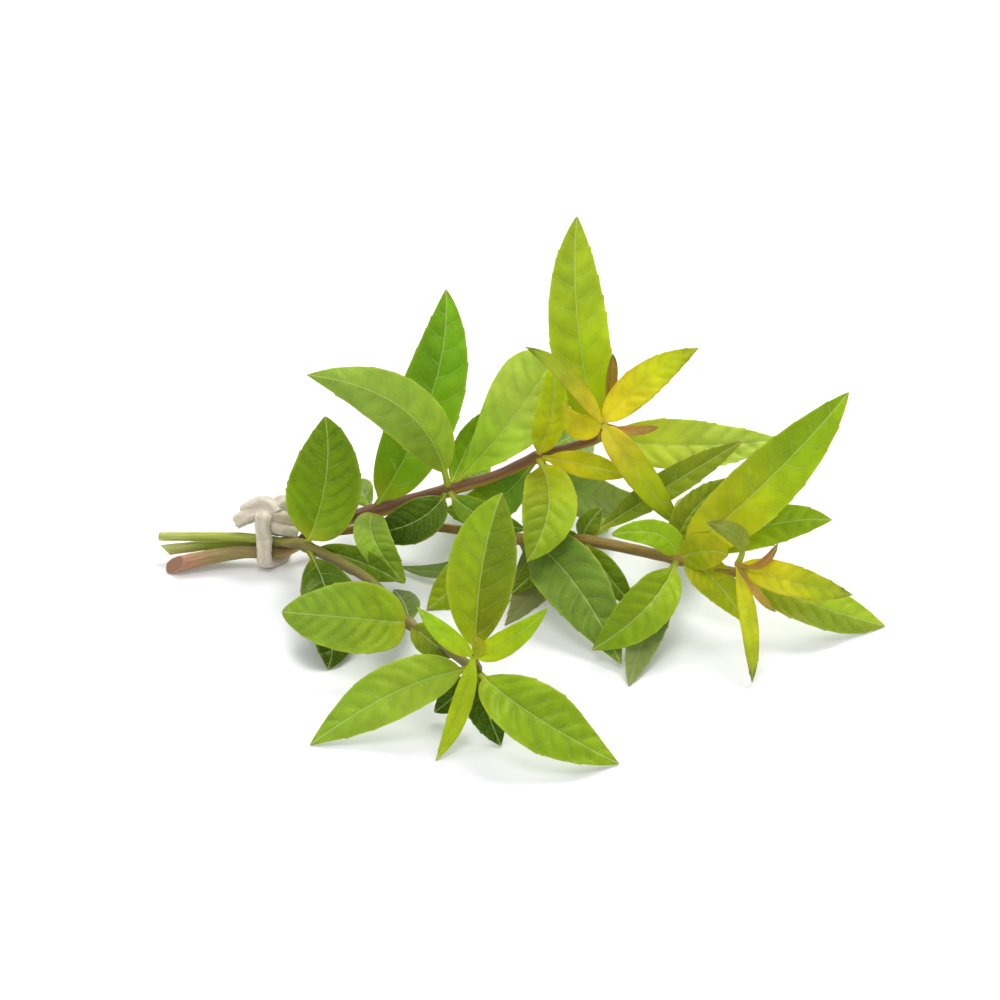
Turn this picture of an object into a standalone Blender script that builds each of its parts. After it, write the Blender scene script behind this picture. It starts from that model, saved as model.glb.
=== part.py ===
"""A bunch of lemon verbena: three leafy stems with young crowns, tied with a knotted cotton cord."""

import math

import bpy
import numpy as np

# Every length in this file is in millimetres until make_object turns it into metres.
METRES = 0.001

# The bunch is laid out from the front, on a sheet that leans back by LEAN. A point is given by how far
# it is across the sheet, how far up the sheet it is, and how high it is above the surface.
LEAN = math.radians(33.0)
SHEET_DISTANCE = 1000.0
SHEET_HEIGHT = 25.4
FACING = np.array([0.0, -math.cos(LEAN), math.sin(LEAN)])
UP_SHEET = np.array([0.0, math.sin(LEAN), math.cos(LEAN)])

# What brings the middle of the bunch over the origin.
CENTRE_X = 5.2
CENTRE_Y = -12.45

BLADE_THICKNESS = 0.7
PETIOLE_THICKNESS = 1.3
PETIOLE_HALF_WIDTH = 1.0
STALK_END = 0.2
TIP_HALF_WIDTH = 0.35
LEAST_THICKNESS = 0.6

# An outline is (share of the length that is stalk, how slowly it widens, how slowly it narrows).
LANCE = (0.1, 0.7, 0.9)
BLUNT = (0.1, 1.0, 0.4)
OVAL = (0.04, 0.45, 0.65)
FULL = (0.06, 0.52, 0.86)
YOUNG = (0.03, 0.58, 0.95)
SLIM = (0.2, 0.8, 0.8)
OUTLINES = {
    "broad_light": BLUNT,
    "front_oval": OVAL,
    "upright": FULL,
    "long_back": FULL,
    "tallest": FULL,
    "big_right": FULL,
    "yellow_upright": FULL,
    "out_right": FULL,
    "small_left": OVAL,
    "olive_cover": OVAL,
    "golden_droop": OVAL,
    "curled_up": SLIM,
    "hook_bract": SLIM,
    "bract_low": SLIM,
    "bract_up": SLIM,
    "bract_right": SLIM,
}
TOOTH = 0.06
WAVE = 0.05
LARGE_LEAF_WIDTH = 9.5
LARGE_STATIONS = 11
SMALL_STATIONS = 8
STEM_SIDES = 8

# The core of a crown starts a small gap past its stem and narrows to its end.
CORE_PLACES = (0.35, 1.95, 3.55, 4.55)
CORE_TAPER = (0.95, 0.95, 0.8, 0.45)

CORD_SIDES = 8
CORD_HALF_WIDTH = 2.6
CORD_SQUEEZED = 0.48
KNOT_RADIUS = 2.4
KNOT_SQUEEZED = 0.85
WINDING_STEPS = 20
WINDING_FROM = math.radians(125.0)
WINDING_TO = math.radians(415.0)
WINDING_SHIFT = 6.6
SHIFT_FROM = 0.3
SHIFT_SHARE = 0.4
WINDING_RADIUS = 5.7
TIE_ACROSS = -71.4
TIE_DEPTH = 4.3
TIE_HEIGHT = 6.3

# Places of the knotted strands, as (across, up the sheet, height).
FRONT_RISE = ((-71.4, -8.6, 13.2), (-71.2, -6.0, 14.6))
BACK_RISE = ((-65.0, -6.4, 13.4), (-65.6, -4.6, 15.4))
LOWER_STRAND = (
    (-79.2, -6.6, 13.6),
    (-75.6, -4.8, 15.4),
    (-71.6, -4.4, 16.2),
    (-67.3, -7.0, 14.2),
    (-62.8, -8.4, 12.6),
)
MIDDLE_STRAND = (
    (-73.0, -3.9, 16.4),
    (-69.8, -3.9, 17.2),
    (-66.4, -4.3, 16.8),
    (-62.6, -5.4, 14.8),
)
UPPER_STRAND = (
    (-75.2, -3.2, 16.2),
    (-73.0, -2.2, 17.8),
    (-69.9, -1.9, 18.4),
    (-66.0, -1.6, 18.4),
    (-62.2, -2.6, 16.8),
)

# Joints of the stems, as (across, up the sheet, height).
FRONT_LOW = (-58.2, -13.8, 10.5)
FRONT_MIDDLE = (-27.3, -36.9, 14.0)
FRONT_TOP = (-7.5, -50.7, 17.0)
UPPER_LOW = (-38.4, -3.6, 16.0)
UPPER_MIDDLE = (-15.6, 3.0, 24.0)
UPPER_HIGH = (11.1, 12.9, 33.0)
UPPER_TOP = (29.5, 18.5, 41.0)
RIGHT_LOW = (6.0, -11.7, 15.0)
RIGHT_MIDDLE = (24.9, -12.0, 17.0)
RIGHT_HIGH = (53.1, -17.7, 17.0)
RIGHT_TOP = (70.2, -21.6, 17.0)

# A stem is a row of (across, up the sheet, height, radius), from its cut end.
FRONT_STEM = (
    (-102.2, -10.9, 7.4, 1.3),
    (-86.0, -11.0, 8.4, 1.35),
    (-77.0, -11.2, 8.8, 1.4),
    (-69.0, -12.0, 8.6, 1.35),
    (-64.2, -12.8, 9.7, 1.35),
    (*FRONT_LOW, 1.6),
    (-39.6, -23.7, 14.0, 1.4),
    (*FRONT_MIDDLE, 1.5),
    (-17.0, -44.0, 15.0, 1.2),
    (*FRONT_TOP, 1.4),
    (-7.2, -49.0, 21.0, 1.1),
)
UPPER_STEM = (
    (-97.6, -19.4, 2.9, 2.3),
    (-86.0, -17.0, 4.2, 2.2),
    (-77.0, -15.7, 5.2, 1.9),
    (-69.0, -15.8, 4.6, 1.8),
    (-64.5, -15.2, 5.4, 1.75),
    (-60.5, -13.3, 7.3, 1.65),
    (-57.0, -10.2, 11.0, 1.8),
    (-51.0, -7.2, 13.4, 1.9),
    (*UPPER_LOW, 2.1),
    (*UPPER_MIDDLE, 1.9),
    (-2.0, 7.0, 29.0, 1.6),
    (*UPPER_HIGH, 1.7),
    (21.0, 15.8, 37.5, 1.4),
    (*UPPER_TOP, 1.4),
    (30.6, 21.2, 46.0, 1.1),
)
RIGHT_STEM = (
    (-100.4, -15.0, 3.9, 1.6),
    (-86.0, -13.4, 4.8, 1.5),
    (-77.0, -13.2, 5.5, 1.4),
    (-69.0, -12.8, 6.0, 1.3),
    (-62.5, -11.9, 6.9, 1.2),
    (-59.0, -11.8, 6.5, 1.25),
    (-52.0, -11.6, 7.0, 1.3),
    (-24.0, -10.5, 11.0, 1.45),
    (*RIGHT_LOW, 1.6),
    (*RIGHT_MIDDLE, 1.7),
    (*RIGHT_HIGH, 1.6),
    (*RIGHT_TOP, 1.4),
    (71.6, -20.4, 21.0, 1.1),
)

# How each cut end slants: its corners move along the stem by their offset in these directions.
FRONT_CUT = 0.1 * UP_SHEET
UPPER_CUT = 1.15 * FACING + 0.5 * UP_SHEET
RIGHT_CUT = -0.8 * UP_SHEET

# A leaf is (name, where it leaves the stem, a point half way along its midrib, its tip, breadth,
# turn about its midrib in degrees, fold of each half in degrees).
FRONT_LEAVES = (
    ("upright", FRONT_LOW, (-52.3, 6.0, 32.0), (-52.5, 25.2, 50.0), 22.5, 0, 14),
    ("under_left", FRONT_LOW, (-50.6, -33.0, 9.0), (-51.6, -50.8, 0.2), 17.5, -15, 12),
    ("under_right", FRONT_LOW, (-42.0, -18.6, 12.0), (-30.6, -24.3, 11.0), 9.0, 10, 12),
    ("front_oval", FRONT_MIDDLE, (-44.6, -35.4, 18.0), (-65.4, -33.6, 16.0), 21.0, 10, 12),
    ("low_right", FRONT_MIDDLE, (-21.6, -42.9, 8.0), (-15.0, -48.0, 3.0), 8.0, 0, 12),
    ("back_floor", FRONT_MIDDLE, (-28.5, -31.5, 8.0), (-31.8, -27.0, 0.2), 9.0, 20, 12),
    ("forward_left", FRONT_TOP, (-30.0, -57.0, 13.0), (-57.0, -73.5, 0.2), 17.0, 22, 12),
    ("forward_right", FRONT_TOP, (9.8, -64.5, 14.0), (35.7, -79.2, 0.2), 19.0, -22, 12),
    ("tall", FRONT_TOP, (-5.5, -21.0, 40.0), (0.6, 2.1, 62.0), 19.8, 0, 14),
    ("under_crown", FRONT_TOP, (-13.5, -58.5, 8.0), (-19.8, -63.6, 3.0), 8.0, 0, 12),
    ("between", FRONT_TOP, (-4.5, -61.5, 9.0), (0.3, -73.8, 0.2), 11.0, 0, 12),
)
UPPER_LEAVES = (
    ("long_back", UPPER_LOW, (-20.8, 30.6, 50.0), (-16.2, 63.3, 78.0), 20.5, 0, 14),
    ("hanging_left", UPPER_LOW, (-37.5, -12.6, 15.0), (-28.5, -24.9, 6.0), 9.0, 0, 14),
    ("back_low", UPPER_LOW, (-38.5, 3.6, 14.0), (-40.0, 1.5, 0.2), 12.0, 0, 12),
    ("arching_left", UPPER_MIDDLE, (-28.0, 26.4, 57.0), (-57.9, 37.5, 62.0), 17.5, 0, 14),
    ("broad_light", UPPER_MIDDLE, (2.4, 22.6, 44.0), (16.2, 43.0, 62.0), 23.5, 0, 10),
    ("broad_behind", UPPER_MIDDLE, (-9.6, 15.9, 31.0), (-3.9, 27.0, 40.0), 9.0, 0, 12),
    ("below_left", UPPER_MIDDLE, (-25.0, -6.2, 20.0), (-40.0, -9.9, 15.0), 13.0, 0, 12),
    ("below_right", UPPER_MIDDLE, (-5.8, -4.8, 25.0), (8.0, -8.8, 22.0), 9.0, 0, 12),
    ("under_stem", UPPER_HIGH, (-2.0, -0.5, 20.0), (-16.5, -2.6, 19.5), 13.0, 0, 12),
    ("back_middle", UPPER_MIDDLE, (-9.0, 9.0, 18.0), (-9.0, 9.0, 0.2), 14.0, 0, 12),
    ("hanging_centre", UPPER_HIGH, (14.7, -1.5, 31.0), (8.1, -18.6, 19.0), 17.0, -8, 16),
    ("yellow_upright", UPPER_HIGH, (15.6, 27.0, 52.0), (15.9, 42.6, 66.0), 9.6, 0, 10),
    ("yellow_under", UPPER_HIGH, (26.0, 10.4, 36.0), (38.0, 7.0, 34.0), 8.0, 0, 10),
    ("grey_behind", UPPER_HIGH, (25.5, 1.5, 24.0), (39.6, 2.1, 25.5), 13.5, 0, 10),
    ("back_high", UPPER_HIGH, (22.5, 19.5, 26.0), (30.0, 19.5, 0.2), 15.0, 0, 12),
    ("tallest", UPPER_TOP, (23.3, 53.4, 72.0), (23.1, 85.2, 98.0), 18.5, 0, 14),
    ("out_right", UPPER_TOP, (57.5, 16.4, 37.5), (84.6, 18.0, 35.5), 15.5, -10, 12),
)
RIGHT_LEAVES = (
    ("low_left", RIGHT_LOW, (-9.0, -22.5, 8.0), (-21.9, -33.0, 0.2), 14.0, 0, 12),
    ("low_back", RIGHT_LOW, (-13.5, -20.5, 7.0), (-30.0, -19.8, 3.0), 5.0, 0, 12),
    ("dark_left", RIGHT_MIDDLE, (18.0, -15.6, 14.0), (3.3, -28.2, 3.0), 12.0, 0, 12),
    ("dark_up", RIGHT_MIDDLE, (26.4, -7.5, 20.8), (30.6, -2.4, 24.2), 7.0, 0, 12),
    ("floor_grey", RIGHT_LOW, (9.0, -26.0, 2.5), (1.5, -37.5, 0.2), 11.0, 0, 12),
    ("twisted", RIGHT_MIDDLE, (50.4, 4.2, 32.5), (72.9, 17.7, 50.0), 9.6, -20, 16),
    ("big_middle", RIGHT_LOW, (20.7, -22.8, 15.0), (36.3, -49.2, 2.0), 19.5, 0, 12),
    ("small_behind", RIGHT_MIDDLE, (32.4, -22.6, 12.0), (39.6, -31.2, 5.0), 8.4, 0, 12),
    ("back_low", RIGHT_MIDDLE, (29.5, -5.0, 12.0), (33.0, 3.0, 0.2), 10.0, 0, 12),
    ("down_left", RIGHT_HIGH, (44.1, -32.1, 16.0), (27.6, -45.0, 4.0), 14.5, 0, 12),
    ("small_left", RIGHT_HIGH, (47.6, -10.4, 26.0), (33.4, -10.4, 26.0), 8.6, 0, 12),
    ("behind_big", RIGHT_HIGH, (57.0, -4.5, 29.0), (70.8, 6.8, 37.0), 10.0, 0, 12),
    ("big_right", RIGHT_HIGH, (80.7, 6.2, 47.0), (104.7, 32.4, 72.0), 18.5, 0, 14),
    ("right_behind", RIGHT_HIGH, (78.6, -8.1, 30.0), (99.6, -6.0, 30.0), 12.0, 0, 12),
    ("yellow_low", RIGHT_HIGH, (63.4, -23.2, 15.0), (73.6, -37.0, 4.0), 11.0, 0, 10),
    ("grey_down", RIGHT_HIGH, (45.0, -36.0, 9.0), (38.7, -55.8, 0.2), 11.0, 0, 12),
    ("olive_cover", RIGHT_HIGH, (61.8, -15.4, 23.0), (68.4, -16.6, 24.0), 11.0, 0, 10),
    ("back_high", RIGHT_HIGH, (57.0, -6.0, 14.0), (60.0, 0.0, 0.2), 13.0, 0, 12),
    ("far_right", RIGHT_TOP, (93.6, -31.2, 10.0), (115.5, -37.8, 0.2), 14.5, -18, 12),
)

# A crown starts just past the end of its stem, at the end of the core that carries its leaves.
FRONT_CROWN = (
    ("young_left", (-17.0, -40.0, 29.5), (-24.9, -32.1, 34.0), 6.0, 0, 14),
    ("young_right", (3.0, -42.0, 30.0), (14.7, -32.1, 38.0), 7.5, 0, 14),
    ("young_down", (-12.6, -64.5, 10.0), (-19.2, -78.0, 0.2), 6.0, 0, 12),
    ("curled_bud", (-6.3, -44.0, 28.0), (-8.4, -40.2, 31.0), 3.4, 0, 20),
)
UPPER_CROWN = (
    ("olive_left", (23.0, 22.5, 50.0), (19.2, 29.7, 56.0), 8.0, 0, 12),
    ("young_left", (19.5, 37.8, 66.0), (7.5, 45.9, 74.0), 5.6, 0, 14),
    ("bract_up", (33.3, 34.5, 58.0), (33.9, 43.8, 68.0), 3.4, 0, 20),
    ("young_right", (43.8, 36.0, 60.0), (59.7, 45.6, 68.0), 11.0, 0, 12),
    ("bract_right", (39.0, 21.0, 48.5), (47.7, 21.9, 51.0), 3.0, 0, 20),
    ("golden_droop", (41.2, 8.6, 39.5), (53.1, -7.2, 24.0), 9.4, 0, 14),
)
RIGHT_CROWN = (
    ("curled_up", (71.8, -11.4, 33.0), (62.1, -6.9, 40.0), 6.0, 0, 16),
    ("hook_bract", (78.0, -19.4, 28.0), (83.4, -12.9, 31.0), 2.6, 0, 20),
    ("young_right", (89.2, -24.8, 23.0), (105.9, -28.5, 14.0), 9.8, -10, 12),
    ("bract_low", (76.8, -27.6, 21.0), (82.8, -33.6, 15.0), 2.6, 0, 20),
    ("young_down", (75.0, -39.0, 14.0), (75.6, -54.9, 0.2), 5.4, 0, 14),
)


def clear_scene():
    """Takes away every object that is already there."""
    for old in list(bpy.data.objects):
        bpy.data.objects.remove(old, do_unlink=True)


def place(across, rise, height):
    """The point in space for a place on the leaning sheet and a height above the surface."""
    sine = math.sin(LEAN)
    cosine = math.cos(LEAN)
    nearer = (height - SHEET_HEIGHT - rise * cosine) / (sine - rise * cosine / SHEET_DISTANCE)
    scale = 1.0 - nearer / SHEET_DISTANCE
    depth = rise * scale * sine - nearer * cosine
    return np.array([across * scale, depth, height])


def unit(vector):
    """The vector at length one."""
    return vector / np.linalg.norm(vector)


def turned(vector, axis, angle):
    """The vector turned about a unit axis."""
    along = axis * np.dot(axis, vector) * (1.0 - math.cos(angle))
    return vector * math.cos(angle) + np.cross(axis, vector) * math.sin(angle) + along


def smooth_path(knots, steps):
    """Points on a smooth curve through the knots, with this many steps between each two."""
    knots = [np.asarray(knot, float) for knot in knots]
    padded = [2.0 * knots[0] - knots[1], *knots, 2.0 * knots[-1] - knots[-2]]
    points = []
    for index in range(len(knots) - 1):
        before, start, end, after = padded[index : index + 4]
        for step in range(steps):
            t = step / steps
            points.append(
                0.5
                * (
                    2.0 * start
                    + (end - before) * t
                    + (2.0 * before - 5.0 * start + 4.0 * end - after) * t**2
                    + (3.0 * start - before - 3.0 * end + after) * t**3
                )
            )
    points.append(knots[-1])
    return np.array(points)


def directions(points):
    """The unit tangent at each point of a path."""
    return np.array([unit(step) for step in np.gradient(points, axis=0)])


def above_surface(points, least=0.0):
    """The points, with none lower than the least height."""
    raised = np.array(points)
    raised[..., 2] = np.maximum(raised[..., 2], least)
    return raised


def half_breadth(share, breadth, outline):
    """Half the breadth of a blade at a share of its length: a stalk, a lance shape and a pointed tip."""
    petiole, rise, fall = outline
    blade = min(max((share - petiole) / (1.0 - petiole), 0.0), 1.0)
    widest = rise / (rise + fall)
    most = widest**rise * (1.0 - widest) ** fall
    lance = blade**rise * (1.0 - blade) ** fall / most
    stalk = min(PETIOLE_HALF_WIDTH, 0.3 * breadth) * (1.0 - 0.5 * share)
    return max(0.5 * breadth * lance, stalk if share < 0.5 else TIP_HALF_WIDTH)


def leaf_mesh(start, middle, tip, breadth, roll, fold, outline, seed):
    """Corners and faces of one thick leaf, split alike on both faces."""
    large = breadth >= LARGE_LEAF_WIDTH
    stations = LARGE_STATIONS if large else SMALL_STATIONS
    lanes = (-1.0, -0.5, 0.0, 0.5, 1.0) if large else (-1.0, 0.0, 1.0)
    shares = np.linspace(0.0, 1.0, stations)
    control = 2.0 * middle - 0.5 * (start + tip)
    spine = np.array(
        [(1 - s) ** 2 * start + 2 * s * (1 - s) * control + s**2 * tip for s in shares]
    )
    tangents = directions(spine)
    draw = np.random.default_rng(seed)
    phase = draw.uniform(0.0, 2.0 * math.pi)
    upper = []
    lower = []
    for index, share in enumerate(shares):
        tangent = tangents[index]
        normal = unit(FACING - tangent * np.dot(FACING, tangent))
        normal = turned(normal, tangent, math.radians(roll))
        side = np.cross(tangent, normal)
        half = half_breadth(share, breadth, outline)
        inside = 0 < index < stations - 1
        half *= 1.0 + (TOOTH if index % 2 else -TOOTH) * large * inside
        slope = math.radians(fold) * math.sin(math.pi * min(share + 0.15, 1.0))
        stalk = max(1.0 - share / STALK_END, 0.0)
        thick = 0.5 * (BLADE_THICKNESS + (PETIOLE_THICKNESS - BLADE_THICKNESS) * stalk)
        for lane in lanes:
            ripple = WAVE * breadth * lane**2 * math.sin(9.0 * share + phase + 1.6 * lane)
            ripple *= math.sin(math.pi * share)
            lift = half * abs(lane) * math.sin(slope) + ripple
            point = spine[index] + side * half * lane * math.cos(slope) + normal * lift
            upper.append(point + normal * thick)
            lower.append(point - normal * thick)
    upper, lower = settled(np.array(upper), np.array(lower))
    return np.vstack([upper, lower]), sheet_faces(stations, len(lanes))


def settled(upper, lower):
    """Two sheets of a blade, laid flat where they would go below the surface."""
    least = np.where(upper[:, 2] >= lower[:, 2], LEAST_THICKNESS, 0.0)
    upper[:, 2] = np.maximum(upper[:, 2], least)
    lower[:, 2] = np.maximum(lower[:, 2], LEAST_THICKNESS - least)
    return upper, lower


def sheet_faces(stations, lanes):
    """The triangles that close two like sheets of corners into one thick blade."""
    count = stations * lanes
    faces = []
    for row in range(stations - 1):
        for lane in range(lanes - 1):
            a = row * lanes + lane
            b = a + 1
            c = a + lanes + 1
            d = a + lanes
            if (lane < (lanes - 1) / 2) == (row % 2 == 0):
                halves = ((a, b, c), (a, c, d))
            else:
                halves = ((a, b, d), (b, c, d))
            for one, two, three in halves:
                faces.append((one, two, three))
                faces.append((one + count, three + count, two + count))
    rim = [row * lanes + lanes - 1 for row in range(stations)]
    rim += [(stations - 1) * lanes + lane for lane in reversed(range(lanes - 1))]
    rim += [row * lanes for row in reversed(range(stations - 1))]
    rim += list(range(1, lanes - 1))
    for one, two in zip(rim, rim[1:] + rim[:1]):
        faces.append((one, one + count, two + count))
        faces.append((one, two + count, two))
    return faces


def tube_mesh(path, radii, sides, squeezed=1.0, cut=None):
    """Corners and faces of a closed tube along a path, flattened where it meets the surface."""
    tangents = directions(path)
    normal = unit(np.cross(tangents[0], (0.0, 0.3, 1.0)))
    rings = []
    for point, tangent, radius in zip(path, tangents, radii):
        normal = unit(normal - tangent * np.dot(normal, tangent))
        second = np.cross(tangent, normal) * squeezed
        for side in range(sides):
            angle = 2.0 * math.pi * (side + 0.5) / sides
            rings.append(point + radius * (normal * math.cos(angle) + second * math.sin(angle)))
    if cut is not None:
        for side in range(sides):
            rings[side] = rings[side] + tangents[0] * np.dot(rings[side] - path[0], cut)
    rows = len(path)
    faces = []
    for row in range(rows - 1):
        for side in range(sides):
            a = row * sides + side
            b = row * sides + (side + 1) % sides
            faces.append((a, b, b + sides, a + sides))
    faces.append(tuple(reversed(range(sides))))
    faces.append(tuple((rows - 1) * sides + side for side in range(sides)))
    return above_surface(rings), faces


def stem_path(rows):
    """The centre line and radii of a stem."""
    knots = [np.append(place(*row[:3]), row[3]) for row in rows]
    path = smooth_path(knots, 2)
    return path[:, :3], path[:, 3]


def leaf_of(leaf, start, outline, seed):
    """The mesh of one leaf of the tables, rooted at a point in space."""
    middle, tip, breadth, roll, fold = leaf
    return leaf_mesh(start, place(*middle), place(*tip), breadth, roll, fold, outline, seed)


def make_object(name, corners, faces):
    """A mesh object in the scene, moved over the origin and turned into metres."""
    moved = (np.asarray(corners) - (CENTRE_X, CENTRE_Y, 0.0)) * METRES
    mesh = bpy.data.meshes.new(name)
    mesh.from_pydata(moved.tolist(), [], [list(face) for face in faces])
    mesh.update()
    made = bpy.data.objects.new(name, mesh)
    bpy.context.scene.collection.objects.link(made)
    return made


def fuse(name, meshes, material):
    """One node, made of the first mesh and all the others joined to it."""
    body = make_object(name, *meshes[0])
    others = bpy.data.collections.new(name + "_repeats")
    bpy.context.scene.collection.children.link(others)
    for index, mesh in enumerate(meshes[1:]):
        piece = make_object(f"{name}_repeat_{index}", *mesh)
        bpy.context.scene.collection.objects.unlink(piece)
        others.objects.link(piece)
    join = body.modifiers.new("join", "BOOLEAN")
    join.operation = "UNION"
    join.operand_type = "COLLECTION"
    join.collection = others
    join.solver = "MANIFOLD"
    graph = bpy.context.evaluated_depsgraph_get()
    joined = bpy.data.meshes.new_from_object(body.evaluated_get(graph))
    body.modifiers.clear()
    body.data = joined
    for piece in list(others.objects):
        bpy.data.objects.remove(piece, do_unlink=True)
    bpy.data.collections.remove(others)
    joined.materials.clear()
    joined.materials.append(material)
    for polygon in joined.polygons:
        polygon.use_smooth = True
    joined.name = name
    return body


def leaf_root(start, path):
    """The point of the stem that a leaf grows from, and the end of the stem for the topmost."""
    point = place(*start)
    distances = np.linalg.norm(path - point, axis=1)
    return path[int(np.argmin(distances))]


def sprig(name, rows, cut, leaves, seed, material):
    """A stem with its leaves, as one node."""
    path, radii = stem_path(rows)
    meshes = [tube_mesh(path, radii, STEM_SIDES, cut=cut)]
    for index, (leaf_name, start, *leaf) in enumerate(leaves):
        outline = OUTLINES.get(leaf_name, LANCE)
        meshes.append(leaf_of(leaf, leaf_root(start, path), outline, seed + index))
    return fuse(name, meshes, material)


def crown(name, rows, leaves, seed, material):
    """A young shoot tip that starts just clear of the end of its stem, as one node."""
    path, radii = stem_path(rows)
    ahead = unit(path[-1] - path[-2])
    core = path[-1] + np.outer(CORE_PLACES, ahead)
    meshes = [tube_mesh(core, radii[-1] * np.array(CORE_TAPER), STEM_SIDES)]
    for index, (leaf_name, *leaf) in enumerate(leaves):
        outline = OUTLINES.get(leaf_name, YOUNG)
        meshes.append(leaf_of(leaf, core[2], outline, seed + index))
    return fuse(name, meshes, material)


def winding_path():
    """The turn of the cord: out of the knot, down in front, under the stems and up behind."""
    points = [place(*FRONT_RISE[1]), place(*FRONT_RISE[0])]
    for step in range(WINDING_STEPS + 1):
        share = step / WINDING_STEPS
        angle = WINDING_FROM + (WINDING_TO - WINDING_FROM) * share
        moving = min(max((share - SHIFT_FROM) / SHIFT_SHARE, 0.0), 1.0)
        across = TIE_ACROSS + WINDING_SHIFT * moving**2 * (3.0 - 2.0 * moving)
        depth = TIE_DEPTH + WINDING_RADIUS * math.cos(angle)
        height = TIE_HEIGHT + WINDING_RADIUS * math.sin(angle)
        points.append(np.array([across, depth, height]))
    points += [place(*BACK_RISE[0]), place(*BACK_RISE[1])]
    return np.array(points)


def twine_tie(material):
    """The cord: a flattened turn round the stems, and the thick strands of the knot on top of it."""
    winding = winding_path()
    meshes = [tube_mesh(winding, [CORD_HALF_WIDTH] * len(winding), CORD_SIDES, CORD_SQUEEZED)]
    for strand in (LOWER_STRAND, MIDDLE_STRAND, UPPER_STRAND):
        path = smooth_path([place(*point) for point in strand], 3)
        meshes.append(tube_mesh(path, [KNOT_RADIUS] * len(path), CORD_SIDES, KNOT_SQUEEZED))
    return fuse("twine_tie", meshes, material)


def plain_material(name, colour, roughness):
    """A Principled material of one colour."""
    material = bpy.data.materials.new(name)
    material.use_nodes = True
    shader = material.node_tree.nodes["Principled BSDF"]
    shader.inputs["Base Color"].default_value = (*colour, 1.0)
    shader.inputs["Roughness"].default_value = roughness
    shader.inputs["Metallic"].default_value = 0.0
    material.diffuse_color = (*colour, 1.0)
    return material


def build():
    """Every node of the bunch."""
    clear_scene()
    green = plain_material("leaf_green", (0.16, 0.33, 0.02), 0.42)
    young = plain_material("leaf_young", (0.55, 0.47, 0.06), 0.45)
    cotton = plain_material("cotton_cord", (0.7, 0.63, 0.5), 0.9)
    sprig("front_sprig", FRONT_STEM, FRONT_CUT, FRONT_LEAVES, 100, green)
    crown("front_crown", FRONT_STEM, FRONT_CROWN, 200, young)
    sprig("upper_sprig", UPPER_STEM, UPPER_CUT, UPPER_LEAVES, 300, green)
    crown("upper_crown", UPPER_STEM, UPPER_CROWN, 400, young)
    sprig("right_sprig", RIGHT_STEM, RIGHT_CUT, RIGHT_LEAVES, 500, green)
    crown("right_crown", RIGHT_STEM, RIGHT_CROWN, 600, young)
    twine_tie(cotton)


build()
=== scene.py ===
"""The looks of a bunch of lemon verbena: fine leaves, stems and cord over its solids, on a pale floor."""

import math

import bpy
import numpy as np
from mathutils import Matrix


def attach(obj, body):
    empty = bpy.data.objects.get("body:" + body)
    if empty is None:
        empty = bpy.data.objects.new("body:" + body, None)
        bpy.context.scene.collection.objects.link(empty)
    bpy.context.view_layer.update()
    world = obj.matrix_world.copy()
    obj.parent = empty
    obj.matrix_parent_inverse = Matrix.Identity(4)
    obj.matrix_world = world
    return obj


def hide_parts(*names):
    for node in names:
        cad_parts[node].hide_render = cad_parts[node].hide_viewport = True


# Lengths are in millimetres until they are put into a mesh.
METRES = 0.001
LEAN = math.radians(33.0)
SHEET_DISTANCE = 1000.0
SHEET_HEIGHT = 25.4
FACING = np.array([0.0, -math.cos(LEAN), math.sin(LEAN)])
UP_SHEET = np.array([0.0, math.sin(LEAN), math.cos(LEAN)])
# The middle of the bunch before it is moved over the origin.
CENTRE = np.array([5.2, -12.45, 0.0])
FLOOR_GAP = 0.03

# The floor and the lamps are placed in metres.
FLOOR_REACH = 2.5
FLOOR_DROP = 0.0001
LAMP_AIM = (0.0, 0.0, 0.03)

STALK_END = 0.2
PETIOLE_HALF_WIDTH = 1.0
PETIOLE_THICKNESS = 1.3
BLADE_THICKNESS = 0.38
TIP_HALF_WIDTH = 0.12
LAID_TOP = 0.42
LARGE_LEAF_WIDTH = 9.5
LARGE_STATIONS = 74
SMALL_STATIONS = 44
# Places across half a blade, as shares of the way from its midrib to its margin.
LARGE_LANES = (0.025, 0.06, 0.11, 0.18, 0.27, 0.37, 0.47, 0.57, 0.67, 0.77, 0.86, 0.93, 0.975, 1.0)
SMALL_LANES = (0.06, 0.15, 0.3, 0.48, 0.66, 0.82, 0.93, 1.0)
# The height of waves, of swollen places and of slow unevenness, as shares of the breadth.
WAVE = 0.05
SWELL = 0.05
UNEVEN = 0.012
FULL_SWELL = 40.0
MIDRIB_HALF_WIDTH = 0.5
MIDRIB_DEPTH = 0.34
RIB_HEIGHT = 0.5
LARGE_VEINS = 8
SMALL_VEINS = 5
LONG_LEAF = 28.0
VEIN_SPACING = 0.765
VEIN_HALF_WIDTH = 0.4
VEIN_DEPTH = 0.16
# Teeth stand along this part of the margin. Their rise and drop are shares of the leaf's length.
TEETH_FROM = 0.34
TEETH_SPREAD = 0.58
LARGE_TEETH = 6
SMALL_TEETH = 3
TOOTH_RISE = 0.06
TOOTH_DROP = 0.006
TOOTH_HEIGHTS = (0.06, 0.4)
SMALL_TOOTH = 0.55

STEM_SIDES = 26
# Steps between two knots of a stem: for its bark, and for the roots of its leaves.
STEM_STEPS = 16
SOLID_STEPS = 2
JOINT_REACH = 1.8
JOINT_SWELL = 0.3
# How far from its cut end a stem is woody, and how far it is fresh from the cut.
WOODY_END = (24.0, 50.0)
FRESH_END = (2.0, 15.0)
# How far along a stem its slanted cut reaches.
CUT_REACH = 6.0
CAP_RING = 0.9
CAP_SHADE = 0.7
CORE_PLACES = (0.35, 1.95, 3.55, 4.55)
BUD_STEPS = 6
BUD_SIDES = 20

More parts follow.
